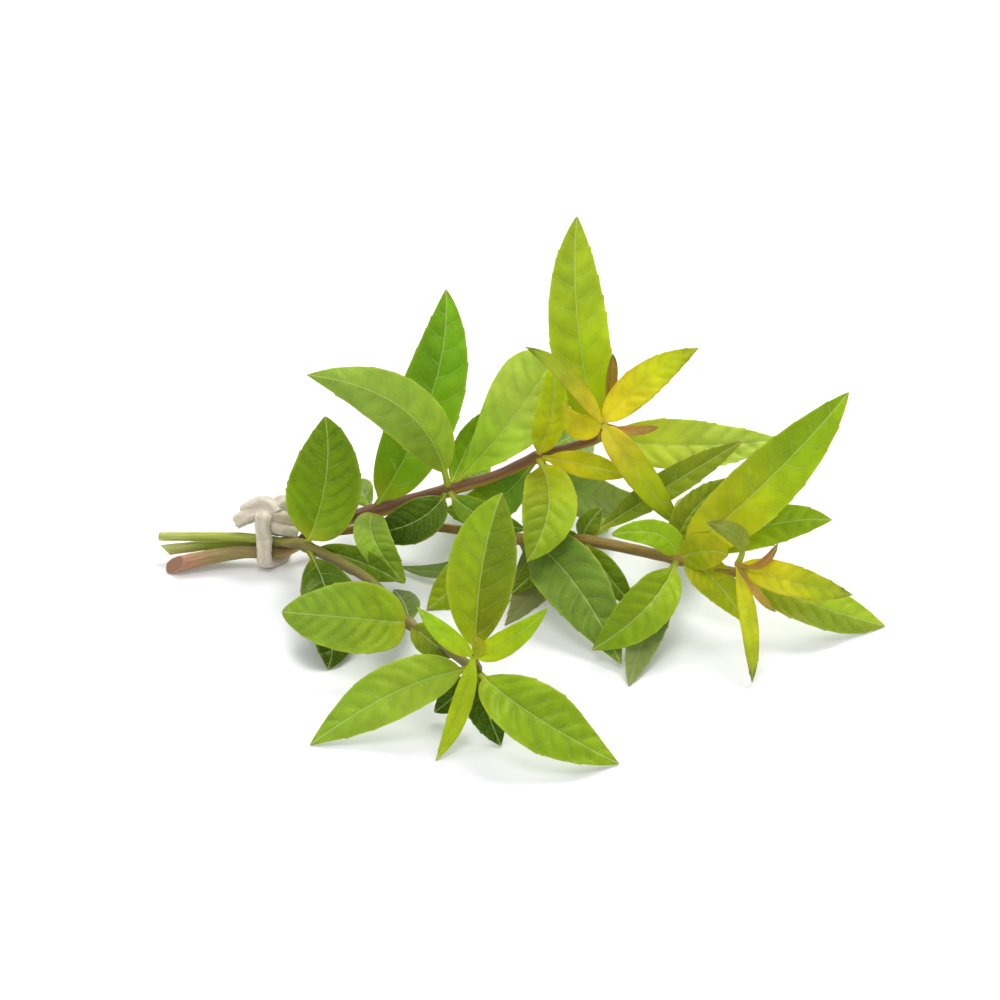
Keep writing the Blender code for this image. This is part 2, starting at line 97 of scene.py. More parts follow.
# An outline is (share of the length that is stalk, how slowly it widens, how slowly it narrows).
LANCE = (0.1, 0.7, 0.9)
BLUNT = (0.1, 1.0, 0.4)
OVAL = (0.04, 0.45, 0.65)
FULL = (0.06, 0.52, 0.86)
YOUNG = (0.03, 0.58, 0.95)
SLIM = (0.2, 0.8, 0.8)
OVAL_LEAVES = ("front_oval", "hanging_left", "small_left", "olive_cover", "golden_droop")
FULL_LEAVES = ("upright", "long_back", "tallest", "big_right", "yellow_upright", "out_right")
SLIM_LEAVES = ("curled_up", "hook_bract", "bract_low", "bract_up", "bract_right")
OUTLINES = {
    "broad_light": BLUNT,
    **dict.fromkeys(OVAL_LEAVES, OVAL),
    **dict.fromkeys(FULL_LEAVES, FULL),
    **dict.fromkeys(SLIM_LEAVES, SLIM),
}

# Joints of the stems, as (across, up the sheet, height).
FRONT_LOW = (-58.2, -13.8, 10.5)
FRONT_MIDDLE = (-27.3, -36.9, 14.0)
FRONT_TOP = (-7.5, -50.7, 17.0)
UPPER_LOW = (-38.4, -3.6, 16.0)
UPPER_MIDDLE = (-15.6, 3.0, 24.0)
UPPER_HIGH = (11.1, 12.9, 33.0)
UPPER_TOP = (29.5, 18.5, 41.0)
RIGHT_LOW = (6.0, -11.7, 15.0)
RIGHT_MIDDLE = (24.9, -12.0, 17.0)
RIGHT_HIGH = (53.1, -17.7, 17.0)
RIGHT_TOP = (70.2, -21.6, 17.0)
FRONT_JOINTS = (FRONT_LOW, FRONT_MIDDLE)
UPPER_JOINTS = (UPPER_LOW, UPPER_MIDDLE, UPPER_HIGH)
RIGHT_JOINTS = (RIGHT_LOW, RIGHT_MIDDLE, RIGHT_HIGH)

# A stem is a row of (across, up the sheet, height, radius), from its cut end.
FRONT_STEM = (
    (-102.2, -10.9, 7.4, 1.3),
    (-86.0, -11.0, 8.4, 1.35),
    (-77.0, -11.2, 8.8, 1.4),
    (-69.0, -12.0, 8.6, 1.35),
    (-64.2, -12.8, 9.7, 1.35),
    (*FRONT_LOW, 1.6),
    (-39.6, -23.7, 14.0, 1.4),
    (*FRONT_MIDDLE, 1.5),
    (-17.0, -44.0, 15.0, 1.2),
    (*FRONT_TOP, 1.4),
    (-7.2, -49.0, 21.0, 1.1),
)
UPPER_STEM = (
    (-97.6, -19.4, 2.9, 2.3),
    (-86.0, -17.0, 4.2, 2.2),
    (-77.0, -15.7, 5.2, 1.9),
    (-69.0, -15.8, 4.6, 1.8),
    (-64.5, -15.2, 5.4, 1.75),
    (-60.5, -13.3, 7.3, 1.65),
    (-57.0, -10.2, 11.0, 1.8),
    (-51.0, -7.2, 13.4, 1.9),
    (*UPPER_LOW, 2.1),
    (*UPPER_MIDDLE, 1.9),
    (-2.0, 7.0, 29.0, 1.6),
    (*UPPER_HIGH, 1.7),
    (21.0, 15.8, 37.5, 1.4),
    (*UPPER_TOP, 1.4),
    (30.6, 21.2, 46.0, 1.1),
)
RIGHT_STEM = (
    (-100.4, -15.0, 3.9, 1.6),
    (-86.0, -13.4, 4.8, 1.5),
    (-77.0, -13.2, 5.5, 1.4),
    (-69.0, -12.8, 6.0, 1.3),
    (-62.5, -11.9, 6.9, 1.2),
    (-59.0, -11.8, 6.5, 1.25),
    (-52.0, -9.8, 7.0, 1.3),
    (-24.0, -7.8, 11.0, 1.4),
    (*RIGHT_LOW, 1.6),
    (*RIGHT_MIDDLE, 1.7),
    (*RIGHT_HIGH, 1.6),
    (*RIGHT_TOP, 1.4),
    (71.6, -20.4, 21.0, 1.1),
)

# How each cut end slants: its corners move along the stem by their offset in these directions.
FRONT_CUT = 0.1 * UP_SHEET
UPPER_CUT = 1.15 * FACING + 0.5 * UP_SHEET
RIGHT_CUT = -0.8 * UP_SHEET

# A leaf is (name, where it leaves the stem, a point half way along its midrib, its tip, breadth,
# turn about its midrib in degrees, fold of each half in degrees). A crown's leaves share one root.
# A leaf that isn't turned and has the usual fold leaves out the last two.
USUAL_BEND = (0, 12)
FRONT_LEAVES = (
    ("upright", FRONT_LOW, (-52.3, 6.0, 32.0), (-52.5, 25.2, 50.0), 22.5, 0, 14),
    ("under_left", FRONT_LOW, (-50.6, -33.0, 9.0), (-51.6, -50.8, 0.2), 17.5, -15, 12),
    ("under_right", FRONT_LOW, (-42.0, -18.6, 12.0), (-30.6, -24.3, 11.0), 9.0, 10, 12),
    ("front_oval", FRONT_MIDDLE, (-44.6, -35.4, 18.0), (-65.4, -33.6, 16.0), 21.0, 10, 12),
    ("low_right", FRONT_MIDDLE, (-21.0, -42.2, 15.5), (-14.6, -47.4, 12.0), 9.0),
    ("back_floor", FRONT_MIDDLE, (-28.5, -31.5, 8.0), (-31.8, -27.0, 0.2), 9.0, 20, 12),
    ("forward_left", FRONT_TOP, (-30.0, -57.0, 13.0), (-57.0, -73.5, 0.2), 17.0, 22, 12),
    ("forward_right", FRONT_TOP, (9.8, -64.5, 14.0), (35.7, -79.2, 0.2), 19.0, -22, 12),
    ("tall", FRONT_TOP, (-5.5, -21.0, 40.0), (0.6, 2.1, 62.0), 19.8, 0, 14),
    ("under_crown", FRONT_TOP, (-13.5, -58.5, 8.0), (-19.8, -63.6, 3.0), 8.0),
    ("between", FRONT_TOP, (-4.5, -61.5, 9.0), (0.3, -73.8, 0.2), 11.0),
)
UPPER_LEAVES = (
    ("long_back", UPPER_LOW, (-20.8, 30.6, 50.0), (-16.2, 63.3, 78.0), 20.5, 0, 14),
    ("hanging_left", UPPER_LOW, (-37.5, -12.6, 17.0), (-28.5, -24.9, 6.0), 11.0, 0, 14),
    ("back_low", UPPER_LOW, (-41.5, 2.2, 14.0), (-43.0, 1.0, 0.2), 9.0),
    ("arching_left", UPPER_MIDDLE, (-28.0, 26.4, 57.0), (-57.9, 37.5, 62.0), 17.5, 0, 14),
    ("broad_light", UPPER_MIDDLE, (2.4, 22.6, 44.0), (16.2, 43.0, 62.0), 23.5, 0, 10),
    ("broad_behind", UPPER_MIDDLE, (-9.6, 15.9, 31.0), (-3.9, 27.0, 40.0), 9.0),
    ("below_left", UPPER_MIDDLE, (-25.0, -6.2, 20.0), (-39.5, -9.9, 13.2), 13.0),
    ("below_right", UPPER_MIDDLE, (-5.8, -4.8, 25.0), (8.0, -8.8, 22.0), 9.0),
    ("under_stem", UPPER_HIGH, (-2.0, -0.5, 20.0), (-16.5, -2.6, 19.5), 13.0),
    ("back_middle", UPPER_MIDDLE, (-9.0, 9.0, 18.0), (-9.0, 9.0, 0.2), 14.0),
    ("hanging_centre", UPPER_HIGH, (14.7, -1.5, 31.0), (8.1, -18.6, 19.0), 17.0, -8, 16),
    ("yellow_upright", UPPER_HIGH, (15.6, 27.0, 52.0), (15.9, 42.6, 66.0), 9.6, 0, 10),
    ("yellow_under", UPPER_HIGH, (26.0, 10.4, 36.0), (38.0, 7.0, 34.0), 8.0, 0, 10),
    ("grey_behind", UPPER_HIGH, (25.5, 1.5, 24.0), (39.6, 2.1, 25.5), 13.5, 0, 10),
    ("back_high", UPPER_HIGH, (22.5, 19.5, 26.0), (30.0, 19.5, 0.2), 15.0),
    ("tallest", UPPER_TOP, (23.3, 53.4, 72.0), (23.1, 85.2, 98.0), 18.5, 0, 14),
    ("out_right", UPPER_TOP, (57.5, 16.4, 37.5), (84.6, 18.0, 35.5), 15.5, -10, 12),
)
RIGHT_LEAVES = (
    ("low_left", RIGHT_LOW, (-9.0, -22.5, 8.0), (-21.9, -33.0, 0.2), 14.0),
    ("low_back", RIGHT_LOW, (-13.5, -20.5, 7.0), (-30.0, -19.8, 3.0), 5.0),
    ("dark_left", RIGHT_MIDDLE, (18.0, -15.6, 14.0), (3.3, -28.2, 3.0), 12.0),
    ("dark_up", RIGHT_MIDDLE, (26.4, -7.5, 20.8), (30.6, -2.4, 24.2), 7.0),
    ("floor_grey", RIGHT_LOW, (9.0, -26.0, 2.5), (1.5, -37.5, 0.2), 11.0),
    ("twisted", RIGHT_MIDDLE, (50.4, 4.2, 32.5), (72.9, 17.7, 50.0), 9.6, -20, 16),
    ("big_middle", RIGHT_LOW, (20.7, -22.8, 15.0), (36.3, -49.2, 2.0), 19.5),
    ("small_behind", RIGHT_MIDDLE, (32.4, -22.6, 12.0), (39.6, -31.2, 5.0), 8.4),
    ("back_low", RIGHT_MIDDLE, (29.5, -5.0, 12.0), (33.0, 3.0, 0.2), 10.0),
    ("down_left", RIGHT_HIGH, (44.1, -32.1, 16.0), (27.6, -45.0, 4.0), 14.5),
    ("small_left", RIGHT_HIGH, (47.6, -10.4, 26.0), (33.4, -10.4, 26.0), 8.6),
    ("behind_big", RIGHT_HIGH, (57.0, -4.5, 29.0), (70.8, 6.8, 37.0), 10.0),
    ("big_right", RIGHT_HIGH, (80.7, 6.2, 47.0), (104.7, 32.4, 72.0), 18.5, 0, 14),
    ("right_behind", RIGHT_HIGH, (78.6, -8.1, 30.0), (99.6, -6.0, 30.0), 12.0),
    ("yellow_low", RIGHT_HIGH, (63.4, -23.2, 15.0), (73.6, -37.0, 4.0), 11.0, 0, 10),
    ("grey_down", RIGHT_HIGH, (45.0, -36.0, 9.0), (38.7, -55.8, 0.2), 11.0),
    ("olive_cover", RIGHT_HIGH, (61.8, -15.4, 23.0), (68.4, -16.6, 24.0), 11.0, 0, 10),
    ("back_high", RIGHT_HIGH, (57.0, -6.0, 14.0), (60.0, 0.0, 0.2), 13.0),
    ("far_right", RIGHT_TOP, (93.6, -31.2, 10.0), (115.5, -37.8, 0.2), 14.5, -18, 12),
)

# A crown starts just past the end of its stem, at the end of the core that carries its leaves.
FRONT_CROWN = (
    ("young_left", (-17.0, -40.0, 29.5), (-24.9, -32.1, 34.0), 6.0, 0, 14),
    ("young_right", (3.0, -42.0, 30.0), (14.7, -32.1, 38.0), 7.5, 0, 14),
    ("young_down", (-12.6, -64.5, 10.0), (-19.2, -78.0, 0.2), 6.0),
    ("curled_bud", (-6.3, -44.0, 28.0), (-8.4, -40.2, 31.0), 3.4, 0, 20),
)
UPPER_CROWN = (
    ("olive_left", (23.0, 22.5, 50.0), (19.2, 29.7, 56.0), 8.0),
    ("young_left", (19.5, 37.8, 66.0), (7.5, 45.9, 74.0), 5.6, 0, 14),
    ("bract_up", (33.3, 34.5, 58.0), (33.9, 43.8, 68.0), 3.4, 0, 20),
    ("young_right", (43.8, 36.0, 60.0), (59.7, 45.6, 68.0), 11.0),
    ("bract_right", (39.0, 21.0, 48.5), (47.7, 21.9, 51.0), 3.0, 0, 20),
    ("golden_droop", (41.2, 8.6, 39.5), (53.1, -7.2, 24.0), 9.4, 0, 14),
)
RIGHT_CROWN = (
    ("curled_up", (71.8, -11.4, 33.0), (62.1, -6.9, 40.0), 6.0, 0, 16),
    ("hook_bract", (78.0, -19.4, 28.0), (83.4, -12.9, 31.0), 2.6, 0, 20),
    ("young_right", (89.2, -24.8, 23.0), (105.9, -28.5, 14.0), 9.8, -10, 12),
    ("bract_low", (76.8, -27.6, 21.0), (82.8, -33.6, 15.0), 2.6, 0, 20),
    ("young_down", (75.0, -39.0, 14.0), (75.6, -54.9, 0.2), 5.4, 0, 14),
)

# How each leaf is coloured: near its stalk and towards its tip. The dark tones of leaves that lie
# under and behind others are painted shade, and the paler, bluer tones on some blades are painted
# sheen. Where its halves differ, the shares of painted light and shade follow, first that of the
# half at the left of its midrib.
PLAIN = ((100, 145, 20), (95, 140, 20))
# These leaves turn their undersides to the front.
TURNED_OVER = ("grey_behind", "low_back", "floor_grey", "grey_down")
LOOKS = {
    "upright": ((105, 150, 14), (88, 132, 10)),
    "under_left": ((60, 96, 6), (54, 88, 4), 1.0, 0.9),
    "under_right": ((92, 132, 24), (86, 128, 16), 0.9, 1.0),
    "front_oval": ((124, 166, 40), (110, 158, 60), 0.92, 1.0),
    "low_right": ((112, 140, 30), (84, 116, 16), 1.0, 0.9),
    "back_floor": ((78, 108, 60), (84, 116, 76)),
    "forward_left": ((118, 160, 50), (114, 158, 60)),
    "forward_right": ((116, 158, 26), (110, 152, 30)),
    "tall": ((124, 156, 12), (112, 156, 36), 1.12, 0.68),
    "under_crown": ((56, 94, 4), (50, 88, 3)),
    "between": ((56, 94, 6), (50, 88, 4)),
    "long_back": ((104, 158, 14), (92, 150, 30), 0.9, 1.14),
    "hanging_left": ((104, 146, 56), (112, 160, 60), 0.94, 1.0),
    "arching_left": ((120, 164, 60), (114, 158, 84), 0.86, 1.1),
    "broad_light": ((128, 180, 48), (146, 186, 104), 1.0, 1.04),
    "broad_behind": ((104, 154, 10), (98, 146, 10)),
    "below_left": ((60, 98, 10), (46, 80, 5)),
    "below_right": ((84, 128, 22), (80, 120, 14)),
    "under_stem": ((86, 142, 62), (106, 154, 24)),
    "hanging_centre": ((138, 168, 18), (126, 168, 46), 1.08, 0.78),
    "yellow_upright": ((160, 186, 22), (146, 184, 8)),
    "yellow_under": ((170, 184, 18), (150, 176, 12)),
    "grey_behind": ((126, 172, 116), (146, 184, 150)),
    "tallest": ((136, 176, 10), (128, 166, 50), 0.94, 1.08),
    "out_right": ((154, 188, 76), (138, 176, 96)),
    "low_left": ((92, 130, 16), (118, 154, 12)),
    "low_back": ((108, 146, 76), (116, 152, 90)),
    "dark_left": ((88, 122, 12), (82, 116, 6)),
    "dark_up": ((86, 120, 26), (88, 122, 30)),
    "floor_grey": ((112, 136, 92), (138, 154, 126)),
    "twisted": ((102, 134, 40), (110, 142, 40), 0.9, 1.05),
    "big_middle": ((82, 124, 60), (92, 132, 64)),
    "small_behind": ((92, 132, 20), (86, 124, 16)),
    "down_left": ((118, 160, 22), (112, 156, 26), 1.05, 0.84),
    "small_left": ((132, 180, 28), (120, 172, 30)),
    "behind_big": ((114, 142, 30), (104, 134, 30)),
    "big_right": ((158, 186, 26), (118, 164, 24), 0.8, 1.04),
    "right_behind": ((136, 176, 20), (112, 156, 20)),
    "yellow_low": ((150, 172, 24), (140, 168, 24)),
    "grey_down": ((124, 150, 90), (118, 148, 84)),
    "olive_cover": ((136, 166, 12), (146, 168, 14)),
    "far_right": ((146, 182, 48), (130, 170, 60), 1.1, 0.7),
}
# A young leaf adds how far its margin and its tip have turned brown.
YOUNG_LOOKS = {
    "front": {
        "young_left": ((168, 186, 22), (150, 182, 40), 0.08, 0.12),
        "young_right": ((172, 186, 22), (154, 178, 22), 0.08, 0.1),
        "young_down": ((168, 184, 28), (172, 186, 34), 0.08, 0.1),
        "curled_bud": ((158, 166, 30), (160, 160, 40), 0.15, 0.2),
    },
    "upper": {
        "olive_left": ((196, 184, 20), (186, 178, 24), 0.15, 0.1),
        "young_left": ((196, 184, 60), (158, 172, 66), 0.35, 0.5),
        "bract_up": ((176, 142, 72), (148, 118, 64), 0.3, 0.3),
        "young_right": ((208, 196, 52), (186, 190, 44), 0.25, 0.35),
        "bract_right": ((184, 146, 112), (174, 130, 104), 0.2, 0.3),
        "golden_droop": ((190, 178, 60), (170, 184, 24), 0.2, 0.35),
    },
    "right": {
        "curled_up": ((158, 166, 80), (140, 152, 84), 0.3, 0.35),
        "hook_bract": ((176, 140, 84), (156, 106, 74), 0.2, 0.5),
        "young_right": ((196, 188, 44), (172, 178, 40), 0.25, 0.4),
        "bract_low": ((180, 142, 110), (178, 148, 84), 0.2, 0.3),
        "young_down": ((196, 190, 44), (172, 180, 50), 0.25, 0.6),
    },
}
STALK_TONE = (158, 176, 54)
TIP_TONE = (120, 110, 50)
BLUSH = (150, 84, 52)
DARK_TIP = (74, 44, 40)
MARGIN = (168, 190, 104)
BUD_TONE = (164, 172, 56)
BUD_SHADE = (150, 112, 50)
# Bark above, below, near the cut end and at the cut itself. The difference above and below is
# partly the bark's own colour and partly painted light from above and painted shade beneath.
BARK_TONES = {
    "front": ((118, 108, 40), (100, 84, 28), (156, 168, 54), (172, 180, 88)),
    "upper": ((118, 76, 44), (178, 142, 44), (136, 118, 60), (166, 116, 86)),
    "right": ((150, 122, 42), (134, 100, 28), (142, 158, 38), (176, 180, 96)),
}
# Blades pass more red and less blue than their colour on a screen shows.
ALBEDO = np.array([2.0, 1.45, 0.7])
YOUNG_ALBEDO = np.array([1.4, 1.42, 0.7])

# The breadth, flatness and turn of the cord, and the loose fibres at its cut end.
CORD_HALF_WIDTH = 2.6
CORD_SQUEEZED = 0.48
KNOT_HALF_WIDTH = 2.75
UNDER_HALF_WIDTH = 1.25
KNOT_SQUEEZED = 0.9
CORD_SIDES = 36
WINDING_POINTS = 17
WINDING_FROM = math.radians(125.0)
WINDING_TO = math.radians(415.0)
WINDING_SHIFT = 6.6
SHIFT_FROM = 0.3
SHIFT_TO = 0.7
WINDING_RADIUS = 5.7
TIE_ACROSS = -71.4
TIE_DEPTH = 4.3
TIE_HEIGHT = 6.3
FIBRE_COUNT = 30
FIBRE_SIDES = 6
FIBRE_RADIUS = 0.1
FIBRE_LENGTHS = (1.0, 1.8)
FIBRE_SPREAD = 2.16
FIBRE_SUNK = 0.8

# Places of the knotted strands, as (across, up the sheet, height).
FRONT_RISE = ((-71.4, -8.0, 15.2), (-71.0, -5.3, 17.9), (-70.8, -4.1, 16.6))
BACK_RISE = ((-65.0, -6.4, 13.4), (-65.6, -4.6, 15.4))
LOWER_STRAND = (
    (-79.2, -6.6, 13.6), (-75.6, -4.8, 15.4), (-71.6, -4.4, 16.2),
    (-67.3, -7.5, 13.8), (-60.8, -9.4, 11.4),
)
MIDDLE_STRAND = (
    (-73.0, -3.9, 16.4), (-69.8, -3.9, 17.2), (-66.4, -4.3, 16.8),
    (-60.8, -6.0, 14.0),
)
# A strand is just seen in the shade under the knot.
UNDER_STRAND = (
    (-72.0, -8.4, 10.6), (-67.5, -9.6, 9.7), (-64.0, -9.8, 9.5),
)
# Two bights of the cord stand up side by side at the top of the knot.
LEFT_BIGHT = (
    (-76.4, -3.6, 15.6), (-74.4, -2.2, 17.4), (-71.2, -1.2, 18.6),
    (-68.6, -2.0, 18.8), (-67.0, -4.4, 17.4),
)
RIGHT_BIGHT = (
    (-68.4, -4.0, 16.8), (-66.8, -1.8, 18.6), (-64.6, -0.9, 19.0),
    (-62.4, -2.4, 17.6), (-61.6, -4.6, 15.6),
)
# The cord's colour, and the painted shade in the dips between its strands.
CORD_COLOUR = (212, 201, 182)
CORD_SHADE = (184, 170, 148)

# Distances at which a vein's mark begins and ends to fade: in turns, centimetres and cells.
SPOT_SCALE = 10.0
SIDE_VEIN_EDGE = (0.004, 0.034)
MIDRIB_EDGE = (0.006, 0.03)
NET_EDGE = (0.0, 0.12)
MATURE_RIB = 0.72
YOUNG_RIB = 0.3
DARK_PATCH = (0.72, 0.88, 0.75, 1.0)
PALE_VEIN = (0.62, 0.8, 0.28, 1.0)
UNDERSIDE = (0.23, 0.33, 0.17, 1.0)
UNDERSIDE_VEIN = (0.48, 0.56, 0.3, 1.0)
SKIN_TINT = (0.8, 0.95, 0.25, 1.0)
LIGHT_THROUGH = (1.35, 1.25, 0.55, 1.0)
BARK_SPOT = (0.2, 0.13, 0.05, 1.0)
CORD_STAIN = (0.42, 0.33, 0.2, 1.0)

# Each sprig's stem, leaves, crown, joints, cut and first random seed.
SPRIGS = {
    "front": (FRONT_STEM, FRONT_LEAVES, FRONT_CROWN, FRONT_JOINTS, FRONT_CUT, 100),
    "upper": (UPPER_STEM, UPPER_LEAVES, UPPER_CROWN, UPPER_JOINTS, UPPER_CUT, 300),
    "right": (RIGHT_STEM, RIGHT_LEAVES, RIGHT_CROWN, RIGHT_JOINTS, RIGHT_CUT, 500),
}
STEM_SEED = 50
CROWN_SEED = 100
CORD_SEED = 700


def place(across, rise, height):
    """A place on the leaning sheet, at a height above the floor, as a point in space."""
    sine = math.sin(LEAN)
    cosine = math.cos(LEAN)
    nearer = (height - SHEET_HEIGHT - rise * cosine) / (sine - rise * cosine / SHEET_DISTANCE)
    scale = 1.0 - nearer / SHEET_DISTANCE
    return np.array([across * scale, rise * scale * sine - nearer * cosine, height])


def places(rows):
    """Several places as points in space."""
    return [place(*row) for row in rows]


def unit(vectors):
    """Vectors at length one."""
    return vectors / np.linalg.norm(vectors, axis=-1, keepdims=True)


def blend(first, second, share):
    """The value at this share of the way from the first to the second."""
    return first + (second - first) * share


def smoothstep(low, high, values):
    """0 below low, 1 above high, and a smooth rise between."""
    share = np.clip((np.asarray(values, float) - low) / (high - low), 0.0, 1.0)
    return share * share * (3.0 - 2.0 * share)


def linear(colour):
    """Screen colours from 0 to 255 as linear ones."""
    values = np.asarray(colour, float) / 255.0
    return np.where(values <= 0.04045, values / 12.92, ((values + 0.055) / 1.055) ** 2.4)


def smooth_path(knots, steps):
    """A smooth curve through the knots, with so many steps between each two."""
    knots = [np.asarray(knot, float) for knot in knots]
    padded = [2.0 * knots[0] - knots[1], *knots, 2.0 * knots[-1] - knots[-2]]
    t = (np.arange(steps) / steps)[:, None]
    points = []
    for index in range(len(knots) - 1):
        before, start, end, after = padded[index : index + 4]
        slope = end - before
        bend = 2.0 * before - 5.0 * start + 4.0 * end - after
        twist = 3.0 * start - before - 3.0 * end + after
        points.append(0.5 * (2.0 * start + slope * t + bend * t**2 + twist * t**3))
    points.append(knots[-1][None])
    return np.vstack(points)


def half_breadth(shares, breadth, outline):
    """Half the breadth along a blade: a stalk, a lance shape and a pointed tip."""
    petiole, rise, fall = outline
    blade = np.clip((shares - petiole) / (1.0 - petiole), 0.0, 1.0)
    widest = rise / (rise + fall)
    most = widest**rise * (1.0 - widest) ** fall
    lance = blade**rise * (1.0 - blade) ** fall / most
    stalk = min(PETIOLE_HALF_WIDTH, 0.3 * breadth) * (1.0 - 0.5 * shares)
    least = np.where(shares < 0.5, stalk * (1.0 - smoothstep(0.2, 0.5, shares)), 0.0)
    return np.maximum(0.5 * breadth * lance, np.maximum(least, TIP_HALF_WIDTH))


def tooth_places(draw, large):
    """Where one margin's teeth stand, as shares of the length, and their heights."""
    count = LARGE_TEETH if large else SMALL_TEETH
    stands = TEETH_FROM + TEETH_SPREAD * (np.arange(count) + draw.uniform(0.0, 1.0, count)) / count
    heights = draw.uniform(*TOOTH_HEIGHTS, count)
    return stands, heights * (1.0 if large else SMALL_TOOTH)


def teeth(shares, stands, heights):
    """How far the margin stands out: slowly up to each tooth, then back at once."""
    out = np.zeros_like(shares)
    for where, height in zip(stands, heights):
        before = np.clip(1.0 - (where - shares) / TOOTH_RISE, 0.0, 1.0) * (shares <= where + 1e-9)
        after = np.clip(1.0 - (shares - where) / TOOTH_DROP, 0.0, 1.0) * (shares > where)
        out = np.maximum(out, height * np.maximum(before**1.6, after))
    return out


def stations(sides, large):
    """Places along a leaf, as shares of its length, with more at its teeth."""
    stops = [np.linspace(0.0, 1.0, LARGE_STATIONS if large else SMALL_STATIONS)]
    for stands, _ in sides:
        stops += [stands, stands + TOOTH_DROP]
    return np.unique(np.round(np.clip(np.concatenate(stops), 0.0, 1.0), 5))


def lanes_of(large):
    """Places across a leaf, from one margin to the other."""
    half = LARGE_LANES if large else SMALL_LANES
    return np.array([-value for value in reversed(half)] + [0.0] + list(half))


def settled(upper, lower):
    """Both sheets of a blade, laid on the floor where they would go below it."""
    above = upper[..., 2] >= lower[..., 2]
    upper[..., 2] = np.maximum(upper[..., 2], np.where(above, LAID_TOP, FLOOR_GAP))
    lower[..., 2] = np.maximum(lower[..., 2], np.where(above, FLOOR_GAP, LAID_TOP))
    return upper, lower


def blade_faces(rows, columns):
    """The faces of both sheets of a blade and of the wall at its rim, and the rim."""
    count = rows * columns
    index = np.arange(count).reshape(rows, columns)
    a = index[:-1, :-1].ravel()
    b = index[:-1, 1:].ravel()
    c = index[1:, 1:].ravel()
    d = index[1:, :-1].ravel()
    top = np.stack([a, b, c, d], 1)
    bottom = np.stack([a, d, c, b], 1) + count
    rim = np.concatenate([index[:, -1], index[-1, -2::-1], index[-2::-1, 0], index[0, 1:-1]])
    after = np.roll(rim, -1)
    wall = np.stack([rim, rim + count, after + count, after], 1)
    return top, bottom, wall, rim


